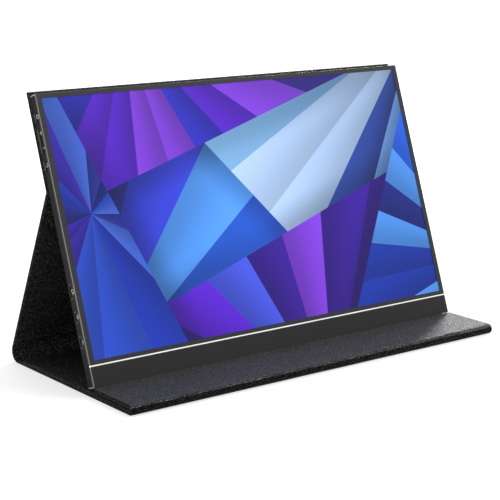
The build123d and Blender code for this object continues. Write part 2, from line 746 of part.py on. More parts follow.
def speaker(side):
    """One flat speaker box behind the sound slots."""
    return sheet(
        SPEAKER_LOW,
        SPEAKER_HIGH,
        SPEAKER_LENGTH,
        SPEAKER_FRONT,
        cavity_back - GASKET_THICKNESS,
        side * speaker_u,
    )


speaker_left = speaker(-1)
finish(speaker_left, "speaker_left")
speaker_right = speaker(1)
finish(speaker_right, "speaker_right")

gasket_inner = (SOUND_SLOTS * SOUND_SLOT_PITCH, SOUND_SLOT_LENGTH + SOUND_SLOT_WIDTH)

with BuildPart() as speaker_gaskets:
    with BuildSketch(behind(cavity_back)):
        for side in (-1, 1):
            with Locations((side * speaker_u, (SPEAKER_LOW + SPEAKER_HIGH) / 2)):
                Rectangle(SPEAKER_LENGTH, SPEAKER_HIGH - SPEAKER_LOW)
                Rectangle(*gasket_inner, mode=Mode.SUBTRACT)
    extrude(amount=GASKET_THICKNESS)
finish(speaker_gaskets, "speaker_gaskets")

wire_depth = board_back + WIRE_RADIUS
wire_end_u = board_left + MAIN_BOARD_WIDTH - EDGE_GAP
wire_plane = behind(wire_depth)
wire_rise = main_board_low + WIRE_BEND
wire_routes = [
    [
        (-speaker_u + SPEAKER_LENGTH / 2 - WIRE_BEND, SPEAKER_HIGH),
        (-speaker_u + SPEAKER_LENGTH / 2 - WIRE_BEND, wire_rise + WIRE_BEND),
        (wire_end_u - WIRE_BEND, wire_rise + WIRE_BEND),
    ],
    [
        (speaker_u - SPEAKER_LENGTH / 2 + WIRE_BEND, SPEAKER_HIGH),
        (speaker_u - SPEAKER_LENGTH / 2 + WIRE_BEND, wire_rise + 3 * WIRE_BEND),
        (wire_end_u - WIRE_BEND, wire_rise + 3 * WIRE_BEND),
    ],
]

with BuildPart() as speaker_wires:
    for route in wire_routes:
        with BuildLine(wire_plane) as wire_path:
            FilletPolyline(*route, radius=WIRE_BEND)
        with BuildSketch(Plane(origin=wire_path.line @ 0, z_dir=wire_path.line % 0)):
            Circle(WIRE_RADIUS)
        sweep(path=wire_path.line)
finish(speaker_wires, "speaker_wires")

# Steel plates behind the rear cover's top half, for the flap's magnets

with BuildPart() as catch_plates:
    with BuildSketch(behind(cavity_back)):
        with Locations(*magnet_spots):
            Rectangle(MAGNET_SIZE[0] + 2 * CATCH_MARGIN, MAGNET_SIZE[1] + 2 * CATCH_MARGIN)
    extrude(amount=CATCH_THICKNESS)
finish(catch_plates, "catch_plates")

# Rubber feet: two strips under the bottom edge, whose round back edges stand on the base

with BuildPart() as foot_pads:
    with BuildSketch(behind(FOOT_BACK)):
        for side in (-1, 1):
            foot_u = side * (monitor_width / 2 - FOOT_INSET - FOOT_LENGTH / 2)
            with Locations((foot_u, -FOOT_HEIGHT / 2)):
                Rectangle(FOOT_LENGTH, FOOT_HEIGHT)
    extrude(amount=FOOT_BACK - FOOT_FRONT)
    foot_edges = foot_pads.edges().group_by(Axis((0, 0, 0), screen_up))[0]
    fillet(foot_edges.filter_by(Axis.X), FOOT_ROUND)
finish(foot_pads, "foot_pads")

# Leather cover: stiff panels of skin, board and lining, laid up from the outer face inwards


def outline(low, high, width, corner):
    """A panel's outline, with its far corners rounded where corner isn't 0."""
    with BuildSketch() as shape:
        with Locations((0, (low + high) / 2)):
            Rectangle(width, high - low)
        if corner:
            fillet(shape.vertices().group_by(Axis.Y)[-1], corner)
    return shape.sketch


def cover_panel(name, plane, low, high, thickness, corner=0.0, pockets=()):
    """Skin, board and lining of one panel, between two lines across its plane."""
    board_sheet = thickness - SKIN_THICKNESS - LINING_THICKNESS
    through = Axis((0, 0, 0), plane.z_dir)
    inner_low = low + PANEL_RIM
    inner_high = high - PANEL_RIM
    inner_width = case_width - 2 * PANEL_RIM
    inner_corner = max(corner - PANEL_RIM, 0.0)
    lining_start = SKIN_THICKNESS + board_sheet

    with BuildPart() as skin:
        with BuildSketch(plane):
            add(outline(low, high, case_width, corner))
        extrude(amount=lining_start)
        with BuildSketch(plane.offset(SKIN_THICKNESS)):
            add(outline(inner_low, inner_high, inner_width, inner_corner))
        extrude(amount=board_sheet, mode=Mode.SUBTRACT)
        fillet(skin.faces().sort_by(through)[0].edges(), PANEL_EDGE_RADIUS)
    finish(skin, name + "_skin")

    with BuildPart() as board:
        with BuildSketch(plane.offset(SKIN_THICKNESS)):
            add(
                outline(
                    inner_low + BOARD_GAP,
                    inner_high - BOARD_GAP,
                    inner_width - 2 * BOARD_GAP,
                    inner_corner,
                )
            )
            if pockets:
                with Locations(*pockets):
                    Rectangle(
                        MAGNET_SIZE[0] + 2 * MAGNET_GAP,
                        MAGNET_SIZE[1] + 2 * MAGNET_GAP,
                        mode=Mode.SUBTRACT,
                    )
        extrude(amount=board_sheet)
    finish(board, name + "_board")

    with BuildPart() as lining:
        with BuildSketch(plane.offset(lining_start)):
            add(outline(low, high, case_width, corner))
        extrude(amount=LINING_THICKNESS)
        fillet(lining.faces().sort_by(through)[-1].edges(), PANEL_EDGE_RADIUS)
    finish(lining, name + "_lining")


def fold_strip(name, centre, near, far, start, turn, first_leg, last_leg):
    """Bare leather round a fold: an arc about centre with a straight leg at each end."""
    way = 1 if turn > 0 else -1
    end = start + turn

    def spoke(angle, radius):
        return Vector(centre[0] + radius * cos(radians(angle)), centre[1] + radius * sin(radians(angle)))

    def along(angle):
        return Vector(-sin(radians(angle)), cos(radians(angle))) * way

    with BuildPart() as strip:
        with BuildSketch(Plane.YZ):
            with BuildLine():
                first = Line(spoke(start, far) - along(start) * first_leg, spoke(start, far))
                CenterArc(centre, far, start, turn)
                last = Line(spoke(end, far), spoke(end, far) + along(end) * last_leg)
                back = Line(last @ 1, spoke(end, near) + along(end) * last_leg)
                Line(back @ 1, spoke(end, near))
                CenterArc(centre, near, start, turn)
                under = Line(spoke(start, near), spoke(start, near) - along(start) * first_leg)
                Line(under @ 1, first @ 0)
            make_face()
        extrude(amount=case_width / 2, both=True)
    finish(strip, name)


base_end = spine_y - front_fold_y - BASE_LEG
ledge_end = FRONT_REACH - front_fold_radius - LEDGE_GAP

flap_low = flap_start + BACK_FOLD_LEG

cover_panel("base", base_plane, FRONT_FOLD_LEG, base_end, BASE_THICKNESS)
cover_panel("ledge", ledge_plane, FRONT_FOLD_LEG, ledge_end, BASE_THICKNESS, LEDGE_CORNER)
cover_panel("rear_panel", rear_plane, SPINE_LEG, rear_length - BACK_FOLD_LEG, PANEL_THICKNESS)
cover_panel("flap", flap_plane, flap_low, flap_top, PANEL_THICKNESS, FLAP_CORNER, magnet_spots)

fold_strip(
    "front_fold_strip",
    (front_fold_y, front_fold_radius),
    LAYER_GAP / 2,
    front_fold_radius,
    -90,
    -180,
    FRONT_FOLD_LEG,
    FRONT_FOLD_LEG,
)
fold_strip(
    "spine_leather",
    (spine_y, SPINE_RADIUS),
    SPINE_RADIUS - FOLD_LEATHER,
    SPINE_RADIUS,
    -90,
    90 + REAR_LEAN,
    BASE_LEG,
    SPINE_LEG,
)
fold_strip(
    "back_fold_strip",
    (back_fold_centre.Y, back_fold_centre.Z),
    BACK_FOLD_RADIUS,
    BACK_FOLD_RADIUS + FOLD_LEATHER,
    180 + REAR_LEAN,
    -fold_angle,
    BACK_FOLD_LEG,
    BACK_FOLD_LEG,
)

# Magnets in the flap's board, in line with the steel plates

with BuildPart() as flap_magnets:
    with BuildSketch(flap_plane.offset(SKIN_THICKNESS)):
        with Locations(*magnet_spots):
            Rectangle(*MAGNET_SIZE)
    extrude(amount=MAGNET_THICKNESS)
finish(flap_magnets, "flap_magnets")

print("front edge y, z", round(front_edge_y, 3), round(front_edge_z, 3))
print("ledge fold axis y, z", round(front_fold_y, 3), round(front_fold_radius, 3))
print("rear fold axis y, z", round(spine_y, 3), SPINE_RADIUS)
print("back fold axis y, z", round(back_fold_centre.Y, 3), round(back_fold_centre.Z, 3))
pivot = screen.from_local_coords((pivot_u, rocker_height, -socket_line))
print("rocker axis x, y, z", round(pivot.X, 3), round(pivot.Y, 3), round(pivot.Z, 3))
print("rear panel between its folds", round(rear_length, 3))
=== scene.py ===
import json
from math import cos, hypot, pi, radians, sin, sqrt

import bmesh
import bpy
from mathutils import Euler, Matrix, Quaternion, Vector, noise


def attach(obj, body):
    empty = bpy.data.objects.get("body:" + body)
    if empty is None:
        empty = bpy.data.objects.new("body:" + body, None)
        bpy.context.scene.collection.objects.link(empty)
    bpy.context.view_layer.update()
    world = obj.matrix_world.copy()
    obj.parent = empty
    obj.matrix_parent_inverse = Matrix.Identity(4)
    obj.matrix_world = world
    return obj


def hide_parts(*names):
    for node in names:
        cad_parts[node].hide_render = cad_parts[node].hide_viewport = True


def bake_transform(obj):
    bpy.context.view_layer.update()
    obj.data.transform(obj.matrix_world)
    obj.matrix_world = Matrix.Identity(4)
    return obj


# A slim monitor that leans back in its folded leather cover. Sizes are in metres.
# A place on the monitor is (u, v, w): across, up the screen from its foot, behind its front.

MM = 0.001

# Camera, as the photograph was taken; angles are in degrees and the lens is in millimetres
CAMERA_PLACE = (-0.73519, -0.94126, 0.34615)
CAMERA_HEADING = 37.602
CAMERA_DIP = 12.585
CAMERA_ROLL = 0.208
CAMERA_LENS = 111.52
CAMERA_REACH = 50

# Light and floor; the floor's glow is seen but lights nothing, and grows between two distances
WORLD_LIGHT = 0.42
FLOOR_RADIUS = 4.0
FLOOR_SIDES = 96
FLOOR_COLOUR = 0.5
FLOOR_ROUGHNESS = 0.9
FLOOR_GLOW = 0.8
NEAR_GLOW = 0.62
NEAR = (0.3, 1.0)

# Lamps: name, place, the point it looks at, size and power in watts
LAMPS = [
    ("back_lamp", (1.45, 1.2, 0.88), (0, 0, 0.05), 0.4, 22),
    ("key_lamp", (1.5, -1.1, 2.2), (0, 0, 0.05), 1.6, 36),
    ("top_lamp", (0.2, 0.9, 2.4), (0, 0, 0), 1.8, 26),
    ("side_lamp", (-1.9, -0.5, 0.2), (0, 0.05, 0.08), 0.9, 8),
]

# Leather of the cover: its layers, the rim round the boards and the skin's thicker part of it
SKIN = 0.65 * MM
LINING = 0.65 * MM
GLUE = 0.05 * MM
RIM = 2.2 * MM
SKIN_RIM = 0.8 * RIM
LINING_INSET = 0.3 * MM

# Rounded edges and corners, the step beside the boards and the slight swell of the leather
EDGE_ROUND = 0.5 * MM
LEDGE_ROUND = 0.2 * MM
CORNER = 0.8 * MM
SHOULDER = 0.1 * MM
SWELL = 0.06 * MM
SWELL_PITCH = 38 * MM

# How finely a sheet is divided: coarse steps, stops at an edge, steps on a ramp beside a board
# and steps round each fold; points closer together than SAME_POINT become one
STEP = 7 * MM
EDGE_STOPS = (0.12 * MM, 0.35 * MM, 0.7 * MM, 1.3 * MM, 2.2 * MM, 3.2 * MM)
RAMP = 2 * MM
RAMP_STEPS = 4
SPINE_STEPS = 18
BACK_STEPS = 8
FRONT_STEPS = 20
SAME_POINT = 1e-7

# Grain and wear; the places on the front fold are shares of its bend, from the bottom up: a creased
# stretch, also painted lighter, which leaves the bend's lower part darker as painted shade, a strip
# with a painted highlight marked as full wear, and the top where the ledge's leather begins; and a
# side face is one whose normal points across the cover by more than a share
PEBBLE = 2.0 * MM
WRINKLED = 7 * MM
WEAR_REACH = 0.9 * MM
SIDE_WEAR = 0.1
FOLD_CREASED_AND_LIT = (0.33, 0.74)
FOLD_PAINTED_HIGHLIGHT = (0.66, 0.78)
FOLD_TOP = 0.8
SIDE_FACING = 0.7

# Printed marks on the monitor's edge; the rocker's two stand at a share of its length from its
# middle
MARK_DEPTH = 2.9 * MM
MARK_SIZE = 3 * MM
MARK_LINE = 0.45 * MM
MARK_RISE = 0.02 * MM
ARC_STEPS = 28
ROCKER_MARKS = 0.3

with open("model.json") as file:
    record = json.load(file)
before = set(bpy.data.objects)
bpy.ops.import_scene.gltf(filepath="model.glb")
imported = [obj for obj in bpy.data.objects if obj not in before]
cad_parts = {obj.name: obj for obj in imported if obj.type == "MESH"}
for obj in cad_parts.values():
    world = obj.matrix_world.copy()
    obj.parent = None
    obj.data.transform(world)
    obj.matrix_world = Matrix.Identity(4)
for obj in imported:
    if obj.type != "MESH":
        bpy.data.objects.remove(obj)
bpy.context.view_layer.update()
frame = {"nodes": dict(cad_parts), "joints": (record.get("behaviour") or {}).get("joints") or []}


# Places and directions read from the frame


def joint(name):
    """One joint of the frame."""
    return next(j for j in frame["joints"] if j["name"] == name)


def axes(up, out):
    """Axes with Y along up and Z along out."""
    return Matrix((up.cross(out), up, out)).transposed()


def span(nodes, turn):
    """The lowest and highest corner of some CAD nodes, measured along turned axes."""
    back = turn.transposed()
    places = [back @ vert.co for name in nodes for vert in frame["nodes"][name].data.vertices]
    low = Vector([min(values) for values in zip(*places)])
    high = Vector([max(values) for values in zip(*places)])
    return low, high


screen_out = -Vector(joint("menu_rock")["axis"])
screen_up = Vector((0, screen_out.z, -screen_out.y))
rear_lean = radians(joint("rear_fold")["range_deg"][1]) - pi / 2
rear_up = Vector((0, -sin(rear_lean), cos(rear_lean)))
rear_in = Vector((0, -cos(rear_lean), -sin(rear_lean)))
fold_turn = radians(joint("back_fold")["range_deg"][1])

flat_axes = axes(Vector((0, 1, 0)), Vector((0, 0, 1)))
screen_axes = axes(screen_up, screen_out)
rear_axes = axes(rear_up, rear_in)
side_axes = axes(screen_up, Vector((-1, 0, 0)))

front_fold = Vector(joint("ledge_fold")["pos_m"])
spine = Vector(joint("rear_fold")["pos_m"])
back_fold = Vector(joint("back_fold")["pos_m"])

monitor_low, monitor_high = span(["front_frame", "rear_cover"], screen_axes)
base_low, base_high = span(["base_skin", "base_lining"], flat_axes)
ledge_high = span(["ledge_skin", "ledge_lining"], flat_axes)[1]
rear_low, rear_high = span(["rear_panel_skin", "rear_panel_lining"], rear_axes)
flap_low, flap_high = span(["flap_skin", "flap_lining"], screen_axes)
picture_low, picture_high = span(["lcd_panel"], screen_axes)

case_half = base_high.x
base_panel = base_high.z - base_low.z
back_panel = flap_high.z - flap_low.z
fold_radius = front_fold.z
spine_radius = spine.z
back_radius = flap_low.z - back_fold.dot(screen_out)


def on_screen(u, v, w):
    """The point of the frame that lies at a place on the monitor."""
    return screen_axes @ Vector((u, monitor_low.y + v, monitor_high.z - w))


# Small helpers for shapes


def keep(bm, name, smooth_to=40):
    """Make a finished bmesh an object, smooth up to an angle between its faces."""
    mesh = bpy.data.meshes.new(name)
    bm.to_mesh(mesh)
    bm.free()
    for face in mesh.polygons:
        face.use_smooth = True
    mesh.set_sharp_from_angle(angle=radians(smooth_to))
    piece = bpy.data.objects.new(name, mesh)
    bpy.context.scene.collection.objects.link(piece)
    return piece


def smooth_step(x):
    """0 below 0, 1 above 1 and a smooth rise between."""
    x = min(max(x, 0), 1)
    return x * x * (3 - 2 * x)


def rounding(distance, radius):
    """How far a rounded edge stands back, at a distance from the edge."""
    if distance >= radius:
        return 0
    return radius - sqrt(radius**2 - (radius - max(distance, 0)) ** 2)


def stops(length, fine_start=False, fine_end=False, marks=()):
    """Places along a length, close together at a rounded edge and beside a board's end."""
    fine = [stop for stop in EDGE_STOPS if fine_start]
    fine += [length - stop for stop in EDGE_STOPS if fine_end]
    for mark in marks:
        fine += [mark + RAMP * i / RAMP_STEPS for i in range(-RAMP_STEPS, RAMP_STEPS + 1)]
    fine = [place for place in fine if 0 < place < length]
    count = max(1, round(length / STEP))
    coarse = [length * i / count for i in range(1, count)]
    clear = [x for x in coarse if all(abs(x - place) > STEP / 4 for place in fine)]
    return [0, *sorted(fine + clear), length]


# Leather: sheets that follow the cover's outer line from one end to the other


class Line:
    """The outer line of a stretch of cover, in the side view, as a wire in a bmesh."""

    def __init__(self, start, heading):
        self.bm = bmesh.new()
        self.wear_and_highlight = self.bm.verts.layers.float.new("wear_and_highlight")
        self.crease = self.bm.verts.layers.float.new("crease")
        self.rest = self.bm.verts.layers.float_vector.new("rest_place")
        self.tip = self.bm.verts.new(start)
        self.heading = Vector(heading)
        self.order = [self.tip]

    def run(self, length, free_end=False, marks=()):
        """Go straight on, past the ends of boards at some marks."""
        reached = 0
        for place in stops(length, fine_end=free_end, marks=marks)[1:]:
            made = bmesh.ops.extrude_vert_indiv(self.bm, verts=[self.tip])
            self.tip = made["verts"][0]
            self.tip.co += self.heading * (place - reached)
            self.order.append(self.tip)
            reached = place

    def turn(self, centre, angle, steps):
        """Go round a centre; a positive angle turns from +Y towards +Z."""
        for _ in range(steps):
            made = bmesh.ops.spin(
                self.bm,
                geom=[self.tip],
                cent=centre,
                axis=(1, 0, 0),
                angle=angle / steps,
                steps=1,
                use_merge=False,
            )
            self.tip = next(x for x in made["geom_last"] if isinstance(x, bmesh.types.BMVert))
            self.order.append(self.tip)
        self.heading.rotate(Quaternion((1, 0, 0), angle))

    def length(self):
        """How far the line has come."""
        return sum((b.co - a.co).length for a, b in zip(self.order, self.order[1:]))


def side_view(vert):
    """A point's place in the side view, rounded so that it can be looked up."""
    return (round(vert.co.y, 8), round(vert.co.z, 8))


def places_along(line, side):
    """For each point of a line: how far along it lies, its heading and the way into the cover."""
    found = {}
    reached = 0
    for i, vert in enumerate(line.order):
        before = line.order[max(i - 1, 0)]
        after = line.order[min(i + 1, len(line.order) - 1)]
        reached += (vert.co - before.co).length
        heading = (after.co - before.co).normalized()
        inward = Vector((0, -heading.z, heading.y)) * side
        found[side_view(vert)] = (reached, heading, inward)
    return found


def widen(bm, half):
    """Draw a line in the side view out into a face as wide as the cover."""
    columns = [place - half for place in stops(2 * half, True, True)]
    for vert in bm.verts:
        vert.co.x = columns[0]
    edges = list(bm.edges)
    for left, right in zip(columns, columns[1:]):
        made = bmesh.ops.extrude_edge_only(bm, edges=edges)["geom"]
        edges = [x for x in made if isinstance(x, bmesh.types.BMEdge)]
        moved = [x for x in made if isinstance(x, bmesh.types.BMVert)]
        bmesh.ops.translate(bm, vec=(right - left, 0, 0), verts=moved)
        ends = set(moved)
        edges = [edge for edge in edges if edge.verts[0] in ends and edge.verts[1] in ends]


def round_corner(vert, from_side, from_end, heading):
    """Move a point of a square corner in to a round one, and say how far it is from the edge."""
    across = CORNER - from_side
    ahead = CORNER - from_end
    reach = max(across, ahead)
    shrink = reach / hypot(across, ahead)
    vert.co.x -= (across - across * shrink) * (1 if vert.co.x > 0 else -1)
    vert.co -= heading * (ahead - ahead * shrink)
    return CORNER - reach


def leather_sheet(name, line, side, near, far, half, free_end=False, zones=(), highlight_strip=(0, 0)):
    """A sheet across the cover along a line; near and far say how deep its two faces lie.

    near and far are given a place along the line and the distance to the nearest free edge.
    A fold's zone is its first and last place along the line, and so is a strip of painted highlight,
    which is marked as full wear.
    A free end has round corners.
    """
    bm = line.bm
    total = line.length()
    along = places_along(line, side)
    widen(bm, half)
    made = bmesh.ops.extrude_face_region(bm, geom=list(bm.faces), use_keep_orig=True)["geom"]
    inner = {x for x in made if isinstance(x, bmesh.types.BMVert)}
    for vert in bm.verts:
        place, heading, inward = along[side_view(vert)]
        from_side = half - abs(vert.co.x)
        from_end = total - place if free_end else total
        edge = min(from_side, from_end)
        if free_end and from_side < CORNER and from_end < CORNER:
            edge = round_corner(vert, from_side, from_end, heading)
        depth = (far if vert in inner else near)(place, edge)
        vert[line.rest] = vert.co + inward * depth
        uneven = noise.noise(vert.co / SWELL_PITCH) * SWELL * smooth_step(edge / (3 * RIM))
        vert.co += inward * (depth + uneven)
        vert[line.wear_and_highlight] = SIDE_WEAR * (1 - smooth_step(edge / WEAR_REACH))
        # A strip at full wear is where a highlight is painted
        if highlight_strip[0] < place < highlight_strip[1]:
            vert[line.wear_and_highlight] = 1
        vert[line.crease] = max([0] + [within(place, *zone) for zone in zones])
    bmesh.ops.remove_doubles(bm, verts=bm.verts, dist=SAME_POINT)
    bmesh.ops.recalc_face_normals(bm, faces=bm.faces)
    return keep(bm, name)


def within(place, first, last):
    """1 inside a stretch of the line, fading out over a short way on both sides."""
    return min(smooth_step((place - first) / RAMP + 1), smooth_step((last - place) / RAMP + 1))


def dip(place, boards, cover, beside):
    """How deep a face lies: on a board it leaves room for a cover, beside one it has its own depth.

    A board is its first and last place along the line and the panel's thickness there.
    """
    depth = beside
    for first, last, thickness in boards:
        on_board = min(smooth_step((place - first) / RAMP), smooth_step((last - place) / RAMP))
        depth += (thickness - cover - beside) * on_board
    return depth


def skin_near(place, edge):
    """The skin's open face: a little pressed in beyond the boards, with a rounded edge."""
    pressed = SHOULDER * (1 - smooth_step((edge - RIM / 2) / RIM))
    return pressed + rounding(edge, EDGE_ROUND)


def ledge_near(place, edge):
    """The ledge's open face, flat up to its crisp edges."""
    return rounding(edge, LEDGE_ROUND)


def skin_far(boards):
    """The skin's hidden face, deeper in the rim round the boards."""
    return lambda place, edge: dip(place, boards, LINING, SKIN) if edge < SKIN_RIM else SKIN


def lining_near(boards):
    """The lining's hidden face, on the boards or on the skin between them."""
    return lambda place, edge: dip(place, boards, LINING, SKIN) + GLUE


def lining_far(boards):
    """The lining's open face, with its rounded edge."""
    return lambda place, edge: (
        dip(place, boards, 0, SKIN + GLUE + LINING) - rounding(edge, EDGE_ROUND)
    )


# Skin and lining round the base, the spine and the rear panel

spine_turn = pi / 2 + rear_lean
base_run = spine.y - front_fold.y
spine_arc = spine_radius * spine_turn
rear_run = rear_high.y - spine.dot(rear_up)
base_end = base_high.y - front_fold.y
rear_leg = rear_low.y - spine.dot(rear_up)
low_total = base_run + spine_arc + rear_run
rear_start = base_run + spine_arc + rear_leg
low_boards = [(-RAMP, base_end, base_panel), (rear_start, low_total, back_panel)]
low_zones = [(base_run, base_run + spine_arc + WRINKLED)]


def low_line():
    """The outer line from the front fold, round the spine, to the rear panel's top."""
    line = Line((0, front_fold.y, base_low.z), (0, 1, 0))
    line.run(base_run, marks=[base_end])
    line.turn(spine, spine_turn, SPINE_STEPS)
    line.run(rear_run, marks=[rear_leg, rear_run])
    return line


lining_half = case_half - LINING_INSET
low_skin = leather_sheet(
    "base_and_rear_leather",
    low_line(),
    side=1,
    near=skin_near,
    far=skin_far(low_boards),
    half=case_half,
    zones=low_zones,
)
low_lining = leather_sheet(
    "base_and_rear_lining",
    low_line(),
    side=1,
    near=lining_near(low_boards),
    far=lining_far(low_boards),
    half=lining_half,
    zones=low_zones,
)

# Skin and lining of the flap, with the fold behind the monitor

fold_leg = back_fold.dot(rear_up) - rear_high.y
back_arc = back_radius * fold_turn
flap_leg = flap_low.y - back_fold.dot(screen_up)
flap_run = flap_high.y - back_fold.dot(screen_up)
flap_start = fold_leg + back_arc + flap_leg
flap_boards = [(flap_start, fold_leg + back_arc + flap_run + RAMP, back_panel)]
flap_zones = [(fold_leg, fold_leg + back_arc)]


def flap_line(trim):
    """The outer line from the rear panel's top, round the fold, to the flap's free end."""
    line = Line(back_fold + rear_in * back_radius - rear_up * fold_leg, rear_up)
    line.run(fold_leg)
    line.turn(back_fold, -fold_turn, BACK_STEPS)
    line.run(flap_run - trim, free_end=True, marks=[flap_leg])
    return line


flap_skin = leather_sheet(
    "flap_leather",
    flap_line(0),
    side=1,
    near=skin_near,
    far=skin_far(flap_boards),
    half=case_half,
    free_end=True,
    zones=flap_zones,
)
flap_lining = leather_sheet(
    "flap_inner_leather",
    flap_line(LINING_INSET),
    side=1,
    near=lining_near(flap_boards),
    far=lining_far(flap_boards),
    half=lining_half,
    free_end=True,
    zones=flap_zones,
)

# Skin and lining of the ledge, and the thick fold that joins it to the base

front_arc = fold_radius * pi
ledge_run = ledge_high.y - front_fold.y
ledge_boards = [(-RAMP, ledge_run + RAMP, base_panel)]


def ledge_line(trim):
    """The outer line of the ledge, from the front fold back to its free end."""
    line = Line((0, front_fold.y, 2 * fold_radius), (0, 1, 0))
    line.run(ledge_run - trim, free_end=True)
    return line


def fold_line():
    """The outer line round the front fold, from under the base to the ledge's top."""
    line = Line((0, front_fold.y, 0), (0, -1, 0))
    line.turn(front_fold, -pi, FRONT_STEPS)
    return line


ledge_skin = leather_sheet(
    "ledge_leather",
    ledge_line(0),
    side=-1,
    near=ledge_near,
    far=skin_far(ledge_boards),
    half=case_half,
    free_end=True,
)
ledge_lining = leather_sheet(
    "ledge_lining_sheet",
    ledge_line(LINING_INSET),
    side=-1,
    near=lining_near(ledge_boards),
    far=lining_far(ledge_boards),
    half=lining_half,
    free_end=True,
)
# The front fold: its creased stretch is lighter, so the bend's lower part stays darker as painted shade,
# and a strip near its top is painted with a highlight in the fold leather's light colour
front_skin = leather_sheet(
    "front_fold_leather",
    fold_line(),
    side=-1,
    near=skin_near,
    far=lambda place, edge: base_panel,
    half=case_half,
    zones=[[share * front_arc for share in FOLD_CREASED_AND_LIT]],
    highlight_strip=[share * front_arc for share in FOLD_PAINTED_HIGHLIGHT],
)

# How the leather moves, and which CAD pieces it stands for

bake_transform(low_skin)
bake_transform(low_lining)
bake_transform(flap_skin)
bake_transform(flap_lining)
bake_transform(front_skin)
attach(ledge_skin, "ledge")
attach(ledge_lining, "ledge")
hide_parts("base_skin", "spine_leather", "rear_panel_skin")
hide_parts("base_lining", "rear_panel_lining")
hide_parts("back_fold_strip", "flap_skin")
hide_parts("flap_lining")
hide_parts("front_fold_strip")
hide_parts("ledge_skin")
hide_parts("ledge_lining")

# Printed marks beside the sockets and buttons: thin white lines laid on the monitor's edge


class Marks:
    """Line drawings on the monitor's left edge, where X is towards the front and Y is up.

    A mark's spot says how far behind the front and how far up the screen its middle lies.
    Points and radii are in halves of a mark's size.
    """

    def __init__(self):
        self.bm = bmesh.new()
        self.unit = MARK_SIZE / 2
        self.out = Vector((-1, 0, 0))

    def place(self, spot, x, y):
        """The point of the edge at a step from a mark's middle."""
        w, v = spot
        side = Vector((-w + x * self.unit, v + y * self.unit, 0))
        return on_screen(monitor_low.x, 0, 0) + side_axes @ side

    def turned(self, along):
        """Axes with X along a line on the edge and Z out of the edge."""
        return Matrix((along, self.out.cross(along), self.out)).transposed()

    def bar(self, spot, start, end):
        """A straight line from one point to another."""
        a = self.place(spot, *start)
        b = self.place(spot, *end)
        turn = self.turned((b - a).normalized())
        size = Vector(((b - a).length + MARK_LINE, MARK_LINE, 2 * MARK_RISE))
        shape = Matrix.LocRotScale((a + b) / 2, turn, size)
        bmesh.ops.create_cube(self.bm, size=1, matrix=shape)

    def arc(self, spot, radius, first, angle):
        """A bent line about the mark's middle; angles start at the front and turn upwards."""
        heart = self.place(spot, 0, 0)
        outward = side_axes @ Vector((cos(first), sin(first), 0))
        start = heart + outward * (radius * self.unit)
        size = Vector((MARK_LINE, 1, 2 * MARK_RISE))
        shape = Matrix.LocRotScale(start, self.turned(outward), size)
        shape = shape @ Matrix.Rotation(pi / 2, 4, "X")
        grid = bmesh.ops.create_grid(self.bm, x_segments=1, y_segments=1, size=0.5, matrix=shape)
        face = grid["verts"][0].link_faces[0]
        geom = [face, *face.edges, *face.verts]
        full = angle == 2 * pi
        if full:
            geom = [*face.edges, *face.verts]
            self.bm.faces.remove(face)
        bmesh.ops.spin(
            self.bm,
            geom=geom,
            cent=heart,
            axis=self.out,
            angle=angle,
            steps=ARC_STEPS,
            use_merge=full,
        )

    def finish(self):
        """The marks as one piece on the monitor."""
        bmesh.ops.recalc_face_normals(self.bm, faces=self.bm.faces)
        piece = keep(self.bm, "printed_marks")
        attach(piece, "monitor")
        return piece


def middle_of(name):
    """How far up the screen a CAD node's middle is."""
    low, high = span([name], screen_axes)
    return (low.y + high.y) / 2 - monitor_low.y


rocker_low, rocker_high = span(["menu_rocker"], screen_axes)
rocker_step = (rocker_high.y - rocker_low.y) * ROCKER_MARKS
marks = Marks()

power = (MARK_DEPTH, middle_of("power_button"))
marks.arc(power, 1, radians(125), radians(290))
marks.bar(power, (0, 0.2), (0, 1))

rocker = middle_of("menu_rocker")
plus = (MARK_DEPTH, rocker + rocker_step)
marks.bar(plus, (-0.8, 0), (0.8, 0))
marks.bar(plus, (0, -0.8), (0, 0.8))
minus = (MARK_DEPTH, rocker - rocker_step)
marks.bar(minus, (-0.8, 0), (0.8, 0))

back = (MARK_DEPTH, middle_of("back_button"))
marks.arc(back, 0.75, radians(-90), radians(200))
marks.bar(back, (0, -0.75), (-0.9, -0.75))
marks.bar(back, (-0.9, -0.75), (-0.4, -0.3))

screen_mark = (MARK_DEPTH, middle_of("mini_video_port"))
for x in (-1, 1):
    marks.bar(screen_mark, (x, -0.5), (x, 0.9))
for y in (-0.5, 0.9):
    marks.bar(screen_mark, (-1, y), (1, y))
marks.bar(screen_mark, (-0.5, -1), (0.5, -1))

plug = (MARK_DEPTH, middle_of("usb_c_port_upper"))
marks.arc(plug, 0.7, 0, 2 * pi)
marks.bar(plug, (0, 0.7), (0, 1.2))

bolt = (MARK_DEPTH, middle_of("usb_c_port_lower"))
marks.bar(bolt, (0.3, 1), (-0.4, 0))
marks.bar(bolt, (-0.4, 0), (0.4, 0))
marks.bar(bolt, (0.4, 0), (-0.3, -1))
printed = marks.finish()

# Camera

camera = bpy.data.objects.new("camera", bpy.data.cameras.new("camera"))
bpy.context.scene.collection.objects.link(camera)
camera.data.lens = CAMERA_LENS
camera.location = CAMERA_PLACE
heading = Euler((radians(90 - CAMERA_DIP), 0, radians(-CAMERA_HEADING))).to_quaternion()
camera.rotation_mode = "QUATERNION"
camera.rotation_quaternion = heading @ Quaternion((0, 0, 1), radians(CAMERA_ROLL))
camera.data.clip_end = CAMERA_REACH
bpy.context.scene.camera = camera
bpy.context.scene.view_settings.view_transform = "Standard"

# Materials: helpers


